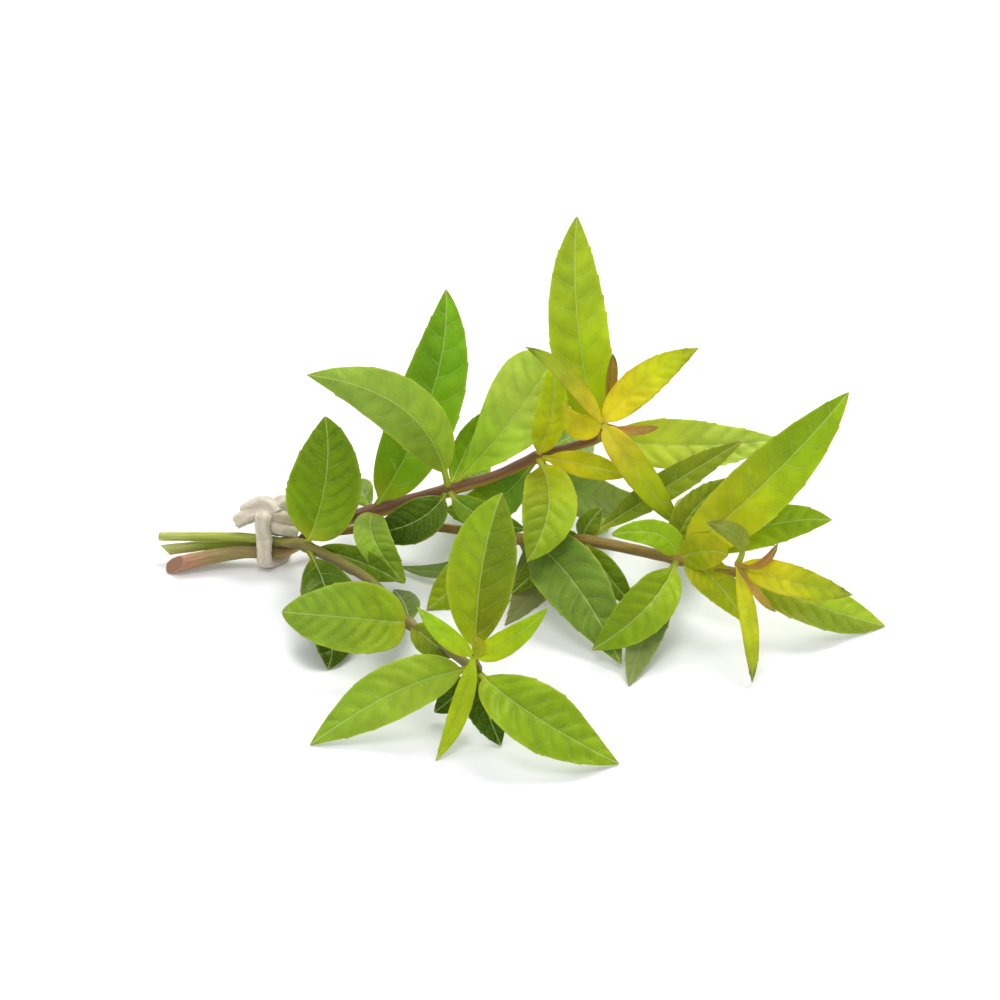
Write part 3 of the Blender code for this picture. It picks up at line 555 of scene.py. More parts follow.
class Leaf:
    """One fine leaf: its corners, and what its material needs at them."""

    def __init__(self, start, leaf, outline, seed):
        middle, tip, self.breadth, *bend = leaf
        roll, self.fold = bend or USUAL_BEND
        self.outline = outline
        self.draw = np.random.default_rng(seed)
        large = self.breadth >= LARGE_LEAF_WIDTH
        wave_phase = self.draw.uniform(0.0, 2.0 * math.pi)
        sides = [tooth_places(self.draw, large) for _ in range(2)]
        self.shares = stations(sides, large)
        self.lanes = lanes_of(large)
        midline = self.midline(start, place(*middle), place(*tip), roll)
        self.length = float(np.linalg.norm(np.diff(midline[0], axis=0), axis=1).sum())
        self.veins = LARGE_VEINS if large and self.length > LONG_LEAF else SMALL_VEINS
        self.off = self.margins(sides) * self.lanes
        self.phase = self.vein_phase()
        sheets = self.sheets(*midline, wave_phase)
        self.corners = np.vstack([sheet.reshape(-1, 3) for sheet in sheets])

    def midline(self, start, middle, tip, roll):
        """The midrib's points, the blade's normal there and the direction across it."""
        control = 2.0 * middle - 0.5 * (start + tip)
        s = self.shares[:, None]
        spine = (1 - s) ** 2 * start + 2 * s * (1 - s) * control + s**2 * tip
        tangent = unit((1 - s) * (control - start) + s * (tip - control))
        normal = unit(FACING - tangent * (tangent @ FACING)[:, None])
        angle = math.radians(roll)
        normal = normal * math.cos(angle) + np.cross(tangent, normal) * math.sin(angle)
        return spine, normal, np.cross(tangent, normal)

    def margins(self, sides):
        """How far the margin stands from the midrib, in each lane's half."""
        half = half_breadth(self.shares, self.breadth, self.outline)
        before_tip = smoothstep(0.0, 0.1, 1.0 - self.shares)
        left, right = [half + teeth(self.shares, *side) * before_tip for side in sides]
        return np.where(self.lanes[None] < 0, left[:, None], right[:, None])

    def vein_phase(self):
        """The count of side veins up to each place. They run forward to the margin."""
        petiole = self.outline[0]
        forward = np.abs(self.off) / self.length * (0.5 + 0.55 * self.lanes**2)
        return (self.shares[:, None] - forward - petiole) / (1.0 - petiole) * self.veins

    def sheets(self, spine, normal, side, wave_phase):
        """The corners of both faces: folded, waved, in relief and thick at the stalk."""
        s = self.shares[:, None]
        slope = np.radians(self.fold) * np.sin(math.pi * np.minimum(s + 0.15, 1.0))
        ripple = np.sin(9.0 * s + wave_phase + 1.6 * self.lanes) * np.sin(math.pi * s)
        lift = np.abs(self.off) * np.sin(slope) + self.relief()
        lift = lift + WAVE * self.breadth * self.lanes**2 * ripple
        spread = self.off * np.cos(slope)
        points = spine[:, None] + side[:, None] * spread[..., None] + normal[:, None] * lift[..., None]
        stalk = np.clip(1.0 - s / STALK_END, 0.0, 1.0)
        thin_edge = 0.93 * np.abs(self.lanes) ** (2.0 + 10.0 * (1.0 - stalk))
        thick = 0.5 * blend(BLADE_THICKNESS, PETIOLE_THICKNESS, stalk) * np.sqrt(1.0 - thin_edge)
        rib = RIB_HEIGHT * self.near_midrib() * np.sqrt(1.0 - s) * (1.0 - stalk)
        upper = points + normal[:, None] * thick[..., None]
        lower = points - normal[:, None] * (thick + rib)[..., None]
        return settled(upper, lower)

    def near_midrib(self):
        """1 on the midrib, and less away from it."""
        return np.exp(-((self.off / MIDRIB_HALF_WIDTH) ** 2))

    def relief(self):
        """Sunken veins, swollen places between them and slow unevenness."""
        s = self.shares[:, None]
        u = self.lanes
        away = np.abs(u)
        turns = self.phase + 0.5 * (u > 0)
        ends = smoothstep(0.12, 0.28, s) * (1.0 - smoothstep(0.86, 1.0, s))
        strength = SWELL * self.breadth * self.draw.uniform(0.8, 1.2) * min(1.0, self.length / FULL_SWELL)
        swell = strength * (np.abs(np.sin(math.pi * turns)) ** 0.8 - 0.55) * np.sin(math.pi * away**0.75)
        past_vein = np.abs(turns - np.round(turns)) * VEIN_SPACING * self.length / self.veins
        sunken = VEIN_DEPTH * np.exp(-((past_vein / VEIN_HALF_WIDTH) ** 2))
        sunken = sunken * (1.0 - smoothstep(0.7, 0.98, away))
        midrib = MIDRIB_DEPTH * self.near_midrib() * smoothstep(0.06, 0.16, s) * (1.0 - s) ** 0.4
        a, b, c = self.draw.uniform(0.0, 2.0 * math.pi, 3)
        slow = np.sin(7.0 * s + 2.5 * u + a) + np.sin(13.0 * s - 4.0 * u + b)
        slow = UNEVEN * self.breadth * (slow + 0.6 * np.sin(22.0 * s + 7.0 * u + c)) * away
        return (swell - sunken + slow) * ends - midrib

    def mesh_parts(self, tones, turned_over=False):
        """Corners, faces, materials, coordinates at each face's corners and tones."""
        rows = len(self.shares)
        columns = len(self.lanes)
        top, bottom, wall, rim = blade_faces(rows, columns)
        faces = np.vstack([top, bottom, wall])
        right = np.tile(self.lanes[:-1] > -1e-9, rows - 1)
        rightward = np.concatenate([right, right, self.lanes[rim % columns] > 0])
        phase = np.tile(self.phase.ravel(), 2)[faces] + 0.5 * rightward[:, None]
        across = np.tile(self.lanes, 2 * rows)[faces]
        along = np.tile(np.repeat(self.shares * self.length, columns), 2)[faces]
        off = np.tile(self.off.ravel(), 2)[faces]
        back, front = (0, 1) if turned_over else (1, 0)
        return {
            "corners": self.corners,
            "faces": faces,
            "materials": np.repeat([front, back, front], [len(top), len(bottom), len(wall)]),
            "smooth": np.ones(len(faces), bool),
            "veins": np.stack([phase, 0.5 + 0.5 * across], -1),
            "spot": np.stack([along, off], -1) / SPOT_SCALE,
            "tone": np.tile(tones.reshape(-1, 3), (2, 1)),
        }

    def tones(self, look):
        """The colours of a mature blade."""
        near, far, *light = look
        left, right = light or (1.0, 1.0)
        s = self.shares[:, None, None]
        u = self.lanes[None, :, None]
        colour = blend(linear(near), linear(far), smoothstep(0.15, 0.75, s))
        # Each half is made lighter or darker by its share: painted light and shade.
        colour = colour * blend(left, right, smoothstep(-0.04, 0.04, u))
        colour = blend(colour, linear(STALK_TONE), 0.45 * (1.0 - smoothstep(0.08, 0.2, s)))
        margin = smoothstep(0.9, 1.0, np.abs(u)) * smoothstep(0.1, 0.2, s)
        colour = blend(colour, linear(MARGIN), 0.3 * margin)
        return blend(colour, linear(TIP_TONE), 0.6 * smoothstep(0.95, 1.0, s)) * ALBEDO

    def young_tones(self, look):
        """The colours of a young blade, whose margin and tip turn brown."""
        near, far, browned, tipped = look
        s = self.shares[:, None, None]
        away = np.abs(self.lanes)[None, :, None]
        colour = blend(linear(near), linear(far), smoothstep(0.15, 0.75, s))
        edge = browned * (0.9 * smoothstep(0.8, 1.0, away) + 0.2 * smoothstep(0.5, 1.0, away))
        edge = np.clip(edge * smoothstep(0.1, 0.3, s), 0.0, 0.9)
        colour = blend(colour, linear(BLUSH), edge)
        tip = tipped * smoothstep(0.8, 0.98, s + 0.06 * away)
        return blend(colour, linear(DARK_TIP), tip) * YOUNG_ALBEDO


def joined(parts, key):
    """One kind of value of every part, in one array."""
    return np.concatenate([part[key] for part in parts])


def mesh_object(name, parts, materials):
    """One object made of several parts."""
    offsets = np.cumsum([0] + [len(part["corners"]) for part in parts[:-1]])
    corners = (joined(parts, "corners") - CENTRE) * METRES
    faces = np.vstack([part["faces"] + offset for part, offset in zip(parts, offsets)])
    mesh = bpy.data.meshes.new(name)
    mesh.from_pydata(corners.tolist(), [], faces.tolist())
    for layer in ("veins", "spot"):
        mesh.uv_layers.new(name=layer).data.foreach_set("uv", joined(parts, layer).ravel())
    tones = joined(parts, "tone")
    opaque = np.ones((len(tones), 1))
    attribute = mesh.color_attributes.new("tone", "FLOAT_COLOR", "POINT")
    attribute.data.foreach_set("color", np.hstack([tones, opaque]).ravel())
    for material in materials:
        mesh.materials.append(material)
    mesh.polygons.foreach_set("material_index", joined(parts, "materials").astype(np.int32))
    mesh.polygons.foreach_set("use_smooth", joined(parts, "smooth"))
    mesh.update()
    mesh.validate()
    made = bpy.data.objects.new(name, mesh)
    bpy.context.scene.collection.objects.link(made)
    return made


def frames_of(path):
    """Tangents and two steady directions across a path."""
    tangents = unit(np.gradient(path, axis=0))
    normal = unit(np.cross(tangents[0], (0.0, 0.3, 1.0)))
    normals = []
    for tangent in tangents:
        normal = unit(normal - tangent * np.dot(normal, tangent))
        normals.append(normal)
    normals = np.array(normals)
    return tangents, normals, np.cross(tangents, normals)


def tube_parts(path, reach, tone, sides, squeezed=1.0, cut=None, wood=None):
    """A closed tube. Its radius and colour are functions of the place on it."""
    tangents, normals, seconds = frames_of(path)
    seconds = seconds * squeezed
    steps = np.linalg.norm(np.diff(path, axis=0), axis=1)
    along = np.concatenate([[0.0], np.cumsum(steps)])[:, None]
    angle = (2.0 * math.pi * np.arange(sides) / sides)[None]
    radius = reach(along / along[-1], along, angle) + 0.0 * angle
    across = normals[:, None] * np.cos(angle)[..., None] + seconds[:, None] * np.sin(angle)[..., None]
    offsets = across * radius[..., None]
    rings = path[:, None] + offsets
    if cut is not None:
        slant = (offsets @ cut) * np.clip(1.0 - along / CUT_REACH, 0.0, 1.0)
        rings = rings + tangents[0] * slant[..., None]
    colours = tone(along, angle, across)
    caps = [end_cap(rings[end], colours[end], wood) for end in (0, -1)]
    corners = np.vstack([rings.reshape(-1, 3)] + [cap[0] for cap in caps])
    corners[:, 2] = np.maximum(corners[:, 2], FLOOR_GAP)
    walls, ends = tube_faces(len(path), sides)
    faces = np.vstack([walls, ends])
    coordinates = np.vstack([wall_coordinates(along, sides), np.zeros((len(ends), 4, 2))])
    return {
        "corners": corners,
        "faces": faces,
        "materials": np.zeros(len(faces), int),
        "smooth": np.arange(len(faces)) < (len(faces) if wood is None else len(walls)),
        "veins": coordinates,
        "spot": coordinates,
        "tone": np.vstack([colours.reshape(-1, 3)] + [cap[1] for cap in caps]),
    }


def tube_faces(rows, sides):
    """The faces of a tube's wall, and those of its two ends."""
    index = np.arange(rows * sides).reshape(rows, sides)
    after = np.roll(index, -1, axis=1)
    walls = np.stack([index[:-1], after[:-1], after[1:], index[1:]], -1).reshape(-1, 4)
    inner = rows * sides + np.arange(sides)
    first = cap_faces(after[0], index[0], inner)
    last = cap_faces(index[-1], after[-1], inner + sides, turned=True)
    return walls, np.vstack([first, last])


def wall_coordinates(along, sides):
    """The share of a turn and the length at each corner of a tube's wall."""
    shape = (len(along), sides + 1)
    turn = np.broadcast_to(np.arange(sides + 1) / sides, shape)
    grid = np.stack([turn, np.broadcast_to(along, shape) / SPOT_SCALE], -1)
    corners = [grid[:-1, :-1], grid[:-1, 1:], grid[1:, 1:], grid[1:, :-1]]
    return np.stack(corners, 2).reshape(-1, 4, 2)


def end_cap(ring, colours, wood):
    """The corners and tones of the ring just inside the rim of a tube's end."""
    middle = ring.mean(axis=0)
    inside = middle + (ring - middle) * CAP_RING
    return inside, colours if wood is None else np.broadcast_to(CAP_SHADE * wood, colours.shape)


def cap_faces(one, two, inner, turned=False):
    """The faces from a tube's rim to the ring inside it, and across that ring."""
    following = np.roll(inner, -1)
    before, behind = (inner, following) if turned else (following, inner)
    rim = np.stack([one, two, behind, before], -1)
    step = np.arange(len(inner) // 2 - 1)
    strips = np.stack([inner[step], inner[step + 1], inner[-2 - step], inner[-1 - step]], -1)
    return np.vstack([rim, strips if turned else strips[:, ::-1]])


def stem_path(rows, steps):
    """The centre line of a stem and its radius at each point."""
    knots = [np.append(place(*row[:3]), row[3]) for row in rows]
    path = smooth_path(knots, steps)
    return path[:, :3], path[:, 3]


def stem_parts(rows, joints, cut, bark, seed):
    """A ridged stem that swells at its joints, with a slanted cut."""
    upper, lower, woody, wood = [linear(tone) for tone in bark]
    path, radii = stem_path(rows, STEM_STEPS)
    for joint in joints:
        near = np.linalg.norm(path - place(*joint), axis=1) / JOINT_REACH
        radii = radii + JOINT_SWELL * np.exp(-(near**2))
    phases = np.random.default_rng(seed).uniform(0.0, 2.0 * math.pi, 4)

    def reach(share, along, angle):
        ridges = 0.05 * np.cos(4.0 * angle + 0.03 * along + phases[0])
        ridges = ridges + 0.025 * np.cos(9.0 * angle + phases[1] + 0.05 * along)
        uneven = 0.02 * np.sin(0.9 * along + 3.0 * np.cos(angle) + phases[2])
        return radii[:, None] * (1.0 + ridges + uneven)

    def tone(along, angle, across):
        streak = 0.5 + 0.5 * np.sin(5.0 * angle + phases[3] + 0.6 * np.sin(0.12 * along))
        # The top of the stem against its underside: partly bark colour, partly painted light and shade.
        high = smoothstep(-0.35, 0.35, across[..., 2] + 0.25 * (streak - 0.5))
        aged = 1.0 - smoothstep(*WOODY_END, along + 5.0 * streak)
        fresh = 1.0 - smoothstep(*FRESH_END, along)
        near_cut = blend(woody, wood, fresh[..., None])
        return blend(blend(lower, upper, high[..., None]), near_cut, aged[..., None])

    return tube_parts(path, reach, tone, STEM_SIDES, cut=cut, wood=wood)


def crown_bud(rows):
    """The core at the end of a stem, and the point where young leaves root."""
    path, radii = stem_path(rows, SOLID_STEPS)
    ahead = unit(path[-1] - path[-2])
    core = path[-1] + np.outer(CORE_PLACES, ahead)

    def reach(share, along, angle):
        taper = 1.0 - 0.55 * smoothstep(0.35, 1.0, share)
        return radii[-1] * taper * (0.93 + 0.04 * np.cos(5.0 * angle))

    def tone(along, angle, across):
        shade = 0.5 * smoothstep(0.0, 0.5, across @ FACING)
        return blend(linear(BUD_TONE), linear(BUD_SHADE), shade[..., None])

    return tube_parts(smooth_path(core, BUD_STEPS), reach, tone, BUD_SIDES), core[2]


def leaf_root(start, path):
    """The point of the stem that a leaf grows from."""
    return path[int(np.argmin(np.linalg.norm(path - place(*start), axis=1)))]


class Shader:
    """Short ways to add nodes to a material and join them."""

    def __init__(self, name):
        self.material = bpy.data.materials.new(name)
        self.material.use_nodes = True
        self.tree = self.material.node_tree
        self.tree.nodes.clear()
        self.output = self.node("ShaderNodeOutputMaterial")

    def node(self, kind, settings=(), **inputs):
        made = self.tree.nodes.new(kind)
        for key, value in dict(settings).items():
            setattr(made, key, value)
        for key, value in inputs.items():
            self.feed(made, key.replace("_", " "), value)
        return made

    def out(self, kind, settings=(), **inputs):
        return self.node(kind, settings, **inputs).outputs[0]

    def feed(self, node, key, value):
        socket = node.inputs[key]
        if isinstance(value, bpy.types.NodeSocket):
            self.tree.links.new(value, socket)
        else:
            socket.default_value = value

    def feed_in_order(self, node, values):
        for index, value in enumerate(values):
            self.feed(node, index, value)
        return node.outputs[0]

    def math(self, operation, *values):
        return self.feed_in_order(self.node("ShaderNodeMath", {"operation": operation}), values)

    def between(self, value, low, high, start=0.0, end=1.0):
        made = self.node("ShaderNodeMapRange", {"interpolation_type": "SMOOTHSTEP"})
        return self.feed_in_order(made, (value, low, high, start, end))

    def mix(self, share, first, second, blend_type="MIX"):
        made = self.node("ShaderNodeMix", {"data_type": "RGBA", "blend_type": blend_type})
        for index, value in ((0, share), (6, first), (7, second)):
            self.feed(made, index, value)
        return made.outputs[2]

    def tone(self):
        return self.out("ShaderNodeVertexColor", {"layer_name": "tone"})

    def place(self):
        return self.node("ShaderNodeTexCoord").outputs["Object"]

    def coordinates(self, layer):
        return self.out("ShaderNodeUVMap", {"uv_map": layer})

    def stretched(self, scale, turn=0.0):
        spot = self.coordinates("spot")
        return self.out("ShaderNodeMapping", Vector=spot, Rotation=(0.0, 0.0, turn), Scale=scale)

    def split(self, vector):
        made = self.node("ShaderNodeSeparateXYZ", Vector=vector)
        return made.outputs[0], made.outputs[1]

    def noise(self, vector, scale, detail=2.0, roughness=0.5):
        inputs = {"Vector": vector, "Scale": scale, "Detail": detail, "Roughness": roughness}
        return self.out("ShaderNodeTexNoise", **inputs)

    def bump(self, height, strength, distance):
        return self.out("ShaderNodeBump", Height=height, Strength=strength, Distance=distance)

    def skin(self, **inputs):
        return self.out("ShaderNodeBsdfPrincipled", **inputs)

    def finish(self, surface):
        self.tree.links.new(surface, self.output.inputs[0])
        return self.material


def vein_masks(shader, spot):
    """Where side veins, the midrib and the net between them lie, from 0 to 1."""
    turns, across = shader.split(shader.coordinates("veins"))
    _, off = shader.split(spot)
    wander = shader.math("SUBTRACT", shader.noise(spot, 3.2, 2.0), 0.5)
    turns = shader.math("ADD", turns, shader.math("MULTIPLY", wander, 0.22))
    nearest = shader.math("FRACT", shader.math("ADD", turns, 0.5))
    past_vein = shader.math("ABSOLUTE", shader.math("SUBTRACT", nearest, 0.5))
    margin = shader.math("ABSOLUTE", shader.math("SUBTRACT", across, 0.5))
    inside = shader.between(margin, 0.3, 0.47, 1.0, 0.0)
    side_vein = shader.between(past_vein, *SIDE_VEIN_EDGE, 1.0, 0.0)
    side_vein = shader.math("MULTIPLY", side_vein, inside)
    midrib = shader.between(shader.math("ABSOLUTE", off), *MIDRIB_EDGE, 1.0, 0.0)
    to_edge = {"feature": "DISTANCE_TO_EDGE"}
    cells = shader.out("ShaderNodeTexVoronoi", to_edge, Vector=spot, Scale=11.0)
    return side_vein, midrib, shader.between(cells, *NET_EDGE, 1.0, 0.0)


def blade_colour(shader, veins, mottle, underside, rib):
    """A mottled green with darker patches and paler veins."""
    side_vein, midrib, net = veins
    tone = shader.tone()
    colour = shader.mix(1.0, tone, shader.between(mottle, 0.3, 0.72, 0.88, 1.1), "MULTIPLY")
    darker = shader.mix(1.0, colour, DARK_PATCH, "MULTIPLY")
    patches = shader.between(shader.noise(shader.place(), 45.0, 2.0), 0.4, 0.68, 0.0, 0.4)
    colour = shader.mix(patches, colour, darker)
    pale = shader.mix(0.85, tone, PALE_VEIN)
    if underside:
        colour = shader.mix(0.45, colour, UNDERSIDE)
        pale = shader.mix(0.7, tone, UNDERSIDE_VEIN)
    for mask, share in ((net, 0.12), (side_vein, 0.38), (midrib, rib)):
        colour = shader.mix(shader.math("MULTIPLY", mask, share), colour, pale)
    return colour


def blade_relief(shader, veins, mottle, underside):
    """Swollen spots, grooves at the net, and side veins raised underneath."""
    side_vein, _, net = veins
    swollen = shader.math("MULTIPLY", mottle, 0.5)
    relief = shader.math("SUBTRACT", swollen, shader.math("MULTIPLY", net, 0.35))
    ridge = shader.math("MULTIPLY", side_vein, 0.9 if underside else -0.6)
    return shader.bump(shader.math("ADD", relief, ridge), 0.35, 0.00022)


def leaf_material(name, underside, glow, rib):
    """A blade: veined, with a satin skin and light that comes through it."""
    shader = Shader(name)
    spot = shader.coordinates("spot")
    veins = vein_masks(shader, spot)
    mottle = shader.noise(shader.place(), 160.0, 3.0, 0.6)
    colour = blade_colour(shader, veins, mottle, underside, rib)
    rough = shader.between(shader.noise(spot, 2.4, 3.0), 0.3, 0.7, 0.3, 0.44)
    skin = shader.skin(
        Base_Color=colour,
        Roughness=shader.math("ADD", rough, 0.16 if underside else 0.0),
        Specular_IOR_Level=0.3 if underside else 0.45,
        Specular_Tint=SKIN_TINT,
        Normal=blade_relief(shader, veins, mottle, underside),
    )
    shining = shader.mix(1.0, colour, LIGHT_THROUGH, "MULTIPLY")
    through = shader.out("ShaderNodeBsdfTranslucent", Color=shining)
    both = shader.node("ShaderNodeMixShader")
    return shader.finish(shader.feed_in_order(both, (glow, skin, through)))


def stem_material():
    """Young bark: fine lengthwise streaks, with a satin skin."""
    shader = Shader("stem_bark")
    streaks = shader.noise(shader.stretched((14.0, 0.9, 1.0)), 1.6, 4.0, 0.6)
    light = shader.between(streaks, 0.3, 0.7, 0.76, 1.22)
    colour = shader.mix(1.0, shader.tone(), light, "MULTIPLY")
    spots = shader.between(shader.noise(shader.place(), 420.0, 2.0), 0.6, 0.8, 0.0, 0.35)
    skin = shader.skin(
        Base_Color=shader.mix(spots, colour, BARK_SPOT),
        Roughness=shader.between(streaks, 0.3, 0.7, 0.42, 0.6),
        Sheen_Weight=0.1,
        Normal=shader.bump(streaks, 0.5, 0.0003),
    )
    return shader.finish(skin)


def cord_material():
    """Soft waxed cotton: pale, with fine slanting fibres."""
    shader = Shader("cord_cotton")
    threads = shader.noise(shader.stretched((9.0, 1.4, 1.0), 0.5), 2.2, 5.0, 0.65)
    light = shader.between(threads, 0.3, 0.7, 0.84, 1.08)
    colour = shader.mix(1.0, shader.tone(), light, "MULTIPLY")
    stains = shader.between(shader.noise(shader.place(), 260.0, 3.0), 0.5, 0.75, 0.0, 0.4)
    skin = shader.skin(
        Base_Color=shader.mix(stains, colour, CORD_STAIN),
        Roughness=0.5,
        Sheen_Weight=0.3,
        Subsurface_Weight=0.25,
        Subsurface_Radius=(0.002, 0.0015, 0.001),
        Normal=shader.bump(threads, 0.5, 0.0004),
    )
    return shader.finish(skin)


def floor_material():
    """A white, matt surface."""
    shader = Shader("floor_white")
    skin = shader.skin(Base_Color=(0.9, 0.9, 0.9, 1.0), Roughness=0.9, Specular_IOR_Level=0.1)
    return shader.finish(skin)


def sprig_piece(name, rows, leaves, seed, materials):
    """The leaves of one sprig."""
    path, _ = stem_path(rows, SOLID_STEPS)
    parts = []
    for index, (leaf_name, start, *leaf) in enumerate(leaves):
        outline = OUTLINES.get(leaf_name, LANCE)
        made = Leaf(leaf_root(start, path), leaf, outline, seed + index)
        tones = made.tones(LOOKS.get(leaf_name, PLAIN))
        parts.append(made.mesh_parts(tones, leaf_name in TURNED_OVER))
    return mesh_object(name, parts, materials)


def crown_piece(name, rows, leaves, looks, seed, materials):
    """The young leaves at the tip of one sprig, with their bud."""
    bud, root = crown_bud(rows)
    parts = [bud]
    for index, (leaf_name, *leaf) in enumerate(leaves):
        made = Leaf(root, leaf, OUTLINES.get(leaf_name, YOUNG), seed + index)
        parts.append(made.mesh_parts(made.young_tones(looks[leaf_name])))
    return mesh_object(name, parts, materials)


def winding_path():
    """The cord's turn: down in front, under the stems and up behind."""
    share = np.linspace(0.0, 1.0, WINDING_POINTS)
    angle = blend(WINDING_FROM, WINDING_TO, share)
    across = TIE_ACROSS + WINDING_SHIFT * smoothstep(SHIFT_FROM, SHIFT_TO, share)
    depth = TIE_DEPTH + WINDING_RADIUS * np.cos(angle)
    turn = np.stack([across, depth, TIE_HEIGHT + WINDING_RADIUS * np.sin(angle)], 1)
    return smooth_path([*reversed(places(FRONT_RISE)), *turn, *places(BACK_RISE)], 10)


def cord_tube(path, half_width, squeezed, seed):
    """A stretch of soft cord, uneven, with its long strands just showing."""
    phases = np.random.default_rng(seed).uniform(0.0, 2.0 * math.pi, 6)

    def reach(share, along, angle):
        strands = 0.03 * np.cos(5.0 * angle + 0.22 * along + phases[0])
        fine = 0.012 * np.cos(13.0 * angle + 0.5 * along + phases[1])
        uneven = 0.05 * np.sin(0.7 * along + phases[2]) + 0.05 * np.cos(2.0 * angle + phases[3])
        wrinkles = 0.025 * np.sin(2.6 * along + 2.0 * np.cos(angle + phases[4]) + phases[5])
        return 0.97 * half_width * (1.0 + strands + fine + uneven + wrinkles)

    def tone(along, angle, across):
        # The dips between strands get painted shade, and their crowns keep the cord's colour.
        groove = 0.5 + 0.5 * np.cos(5.0 * angle + 0.22 * along + phases[0])
        return blend(linear(CORD_SHADE), linear(CORD_COLOUR), (0.4 + 0.6 * groove)[..., None])

    return tube_parts(path, reach, tone, CORD_SIDES, squeezed=squeezed)


def fibre(root, halfway, end):
    """One loose thread, which thins towards its end."""
    return tube_parts(
        smooth_path([root, halfway, end], 4),
        lambda share, along, angle: FIBRE_RADIUS * (1.0 - 0.6 * share),
        lambda along, angle, across: linear(CORD_COLOUR) + 0.0 * across,
        FIBRE_SIDES,
    )


def fibres(where, ahead, seed):
    """Short loose threads at a cut end of the cord."""
    draw = np.random.default_rng(seed)
    parts = []
    for _ in range(FIBRE_COUNT):
        off = draw.normal(0.0, 1.0, 3)
        off = unit(off - ahead * np.dot(off, ahead))
        root = where + off * draw.uniform(0.2, 0.85) * FIBRE_SPREAD - ahead * FIBRE_SUNK
        aim = unit(ahead + off * draw.uniform(0.0, 0.3) + draw.normal(0.0, 0.1, 3))
        reach = draw.uniform(*FIBRE_LENGTHS)
        bend = draw.normal(0.0, 0.2, 3)
        parts.append(fibre(root, root + aim * reach * 0.5 + bend * 0.4, root + aim * reach + bend))
    return parts


def cord_piece(material):
    """The cord round the stems, the strands of its knot and its frayed end."""
    parts = [cord_tube(winding_path(), CORD_HALF_WIDTH, CORD_SQUEEZED, CORD_SEED)]
    for index, strand in enumerate((LOWER_STRAND, MIDDLE_STRAND, LEFT_BIGHT, RIGHT_BIGHT)):
        path = smooth_path(places(strand), 14)
        parts.append(cord_tube(path, KNOT_HALF_WIDTH, KNOT_SQUEEZED, CORD_SEED + 1 + index))
    under = smooth_path(places(UNDER_STRAND), 8)
    parts.append(cord_tube(under, UNDER_HALF_WIDTH, KNOT_SQUEEZED, CORD_SEED + 6))
    tail, before_tail = places(LOWER_STRAND[:2])
    parts += fibres(tail, unit(tail - before_tail), CORD_SEED + 10)
    return mesh_object("twine_cord", parts, [material])


def turn_to(obj, aim):
    """Turns a camera or lamp to a point, with its top up."""
    ahead = unit(np.array(aim, float) - np.array(obj.location))
    right = unit(np.cross(ahead, (0.0, 0.0, 1.0)) + (1e-9, 0.0, 0.0))
    top = np.cross(right, ahead)
    matrix = np.eye(4)
    matrix[:3, :3] = np.stack([right, top, -ahead], 1)
    matrix[:3, 3] = obj.location
    obj.matrix_world = Matrix(matrix.tolist())


def aimed(name, data, location, aim):
    """A camera or lamp in the scene, turned to a point."""
    made = bpy.data.objects.new(name, data)
    bpy.context.scene.collection.objects.link(made)
    made.location = location
    turn_to(made, aim)
    return made


def area_light(name, location, size, power, colour):
    """A soft square lamp turned to the bunch."""
    lamp = bpy.data.lights.new(name, "AREA")
    lamp.size = size
    lamp.energy = power
    lamp.color = colour
    aimed(name, lamp, location, LAMP_AIM)


def white_floor():
    """A wide pale floor, just below the bunch."""
    mesh = bpy.data.meshes.new("floor")
    signs = ((-1.0, -1.0), (1.0, -1.0), (1.0, 1.0), (-1.0, 1.0))
    corners = [(x * FLOOR_REACH, y * FLOOR_REACH, 0.0) for x, y in signs]
    mesh.from_pydata(corners, [], [(0, 1, 2, 3)])
    mesh.materials.append(floor_material())
    floor = bpy.data.objects.new("floor", mesh)
    floor.location.z = -FLOOR_DROP
    bpy.context.scene.collection.objects.link(floor)


def lights():
    """Even light all round, a soft key lamp behind and a weak one in front."""
    world = bpy.data.worlds.new("studio")
    bpy.context.scene.world = world
    world.use_nodes = True
    background = world.node_tree.nodes["Background"]
    background.inputs[0].default_value = (0.97, 0.985, 1.0, 1.0)
    background.inputs[1].default_value = 0.85
    area_light("key", (0.35, 0.75, 1.15), 0.7, 14.0, (1.0, 0.99, 0.97))
    area_light("fill", (-0.15, -0.35, 1.25), 0.5, 3.6, (1.0, 1.0, 1.0))


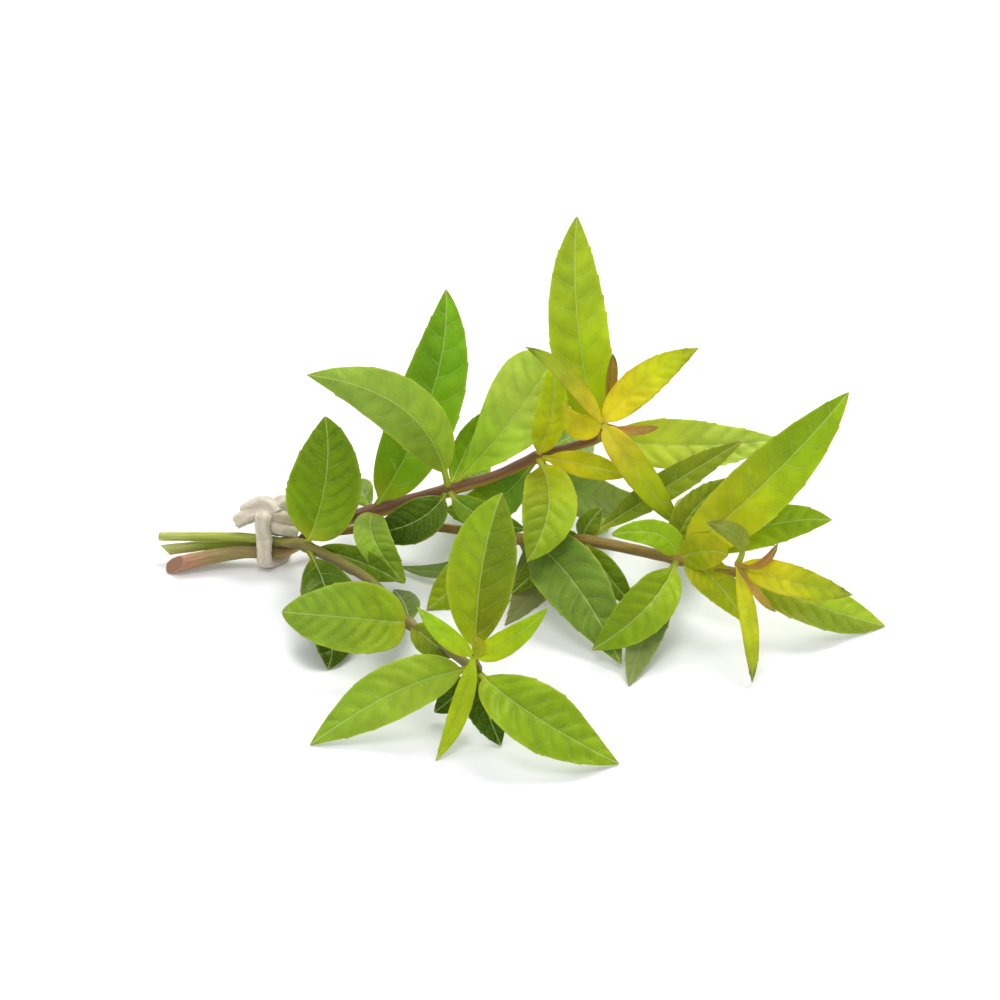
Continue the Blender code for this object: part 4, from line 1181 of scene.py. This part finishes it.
def camera():
    """The camera, which looks straight at the leaning sheet."""
    lens = bpy.data.cameras.new("camera")
    lens.lens = 120.0
    lens.sensor_width = 36.0
    aim = (np.array([0.0, 0.0, SHEET_HEIGHT]) - CENTRE) * METRES
    scene = bpy.context.scene
    scene.camera = aimed("camera", lens, aim + FACING * SHEET_DISTANCE * METRES, aim)
    scene.view_settings.view_transform = "Standard"
    scene.view_settings.look = "None"


def studio():
    """The floor, the light and the camera."""
    white_floor()
    lights()
    camera()


def build_sprig(key, mature, young, bark):
    """One sprig: its leaves, its stem and its crown."""
    rows, leaves, crown, joints, cut, seed = SPRIGS[key]
    blades = sprig_piece(f"{key}_sprig_leaves", rows, leaves, seed, mature)
    stem_part = stem_parts(rows, joints, cut, BARK_TONES[key], seed + STEM_SEED)
    stem = mesh_object(f"{key}_sprig_stem", [stem_part], [bark])
    tip_seed = seed + CROWN_SEED
    tip = crown_piece(f"{key}_crown_leaves", rows, crown, YOUNG_LOOKS[key], tip_seed, young)
    for piece in (blades, stem, tip):
        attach(piece, "root")
    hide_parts(f"{key}_sprig")
    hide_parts(f"{key}_crown")


def build():
    """Every piece of the bunch."""
    mature = [
        leaf_material("leaf_upper_skin", False, 0.36, MATURE_RIB),
        leaf_material("leaf_under_skin", True, 0.4, MATURE_RIB),
    ]
    young = [
        leaf_material("young_leaf_skin", False, 0.45, YOUNG_RIB),
        leaf_material("young_under_skin", True, 0.45, YOUNG_RIB),
    ]
    bark = stem_material()
    cotton = cord_material()
    for key in SPRIGS:
        build_sprig(key, mature, young, bark)
    cord = cord_piece(cotton)
    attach(cord, "root")
    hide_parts("twine_tie")


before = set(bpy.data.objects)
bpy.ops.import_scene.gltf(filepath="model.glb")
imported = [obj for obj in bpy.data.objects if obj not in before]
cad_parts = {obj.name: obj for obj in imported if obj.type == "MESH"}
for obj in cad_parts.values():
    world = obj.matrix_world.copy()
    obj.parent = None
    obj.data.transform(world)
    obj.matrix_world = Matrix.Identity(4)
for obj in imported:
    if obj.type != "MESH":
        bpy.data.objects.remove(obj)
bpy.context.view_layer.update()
build()
studio()
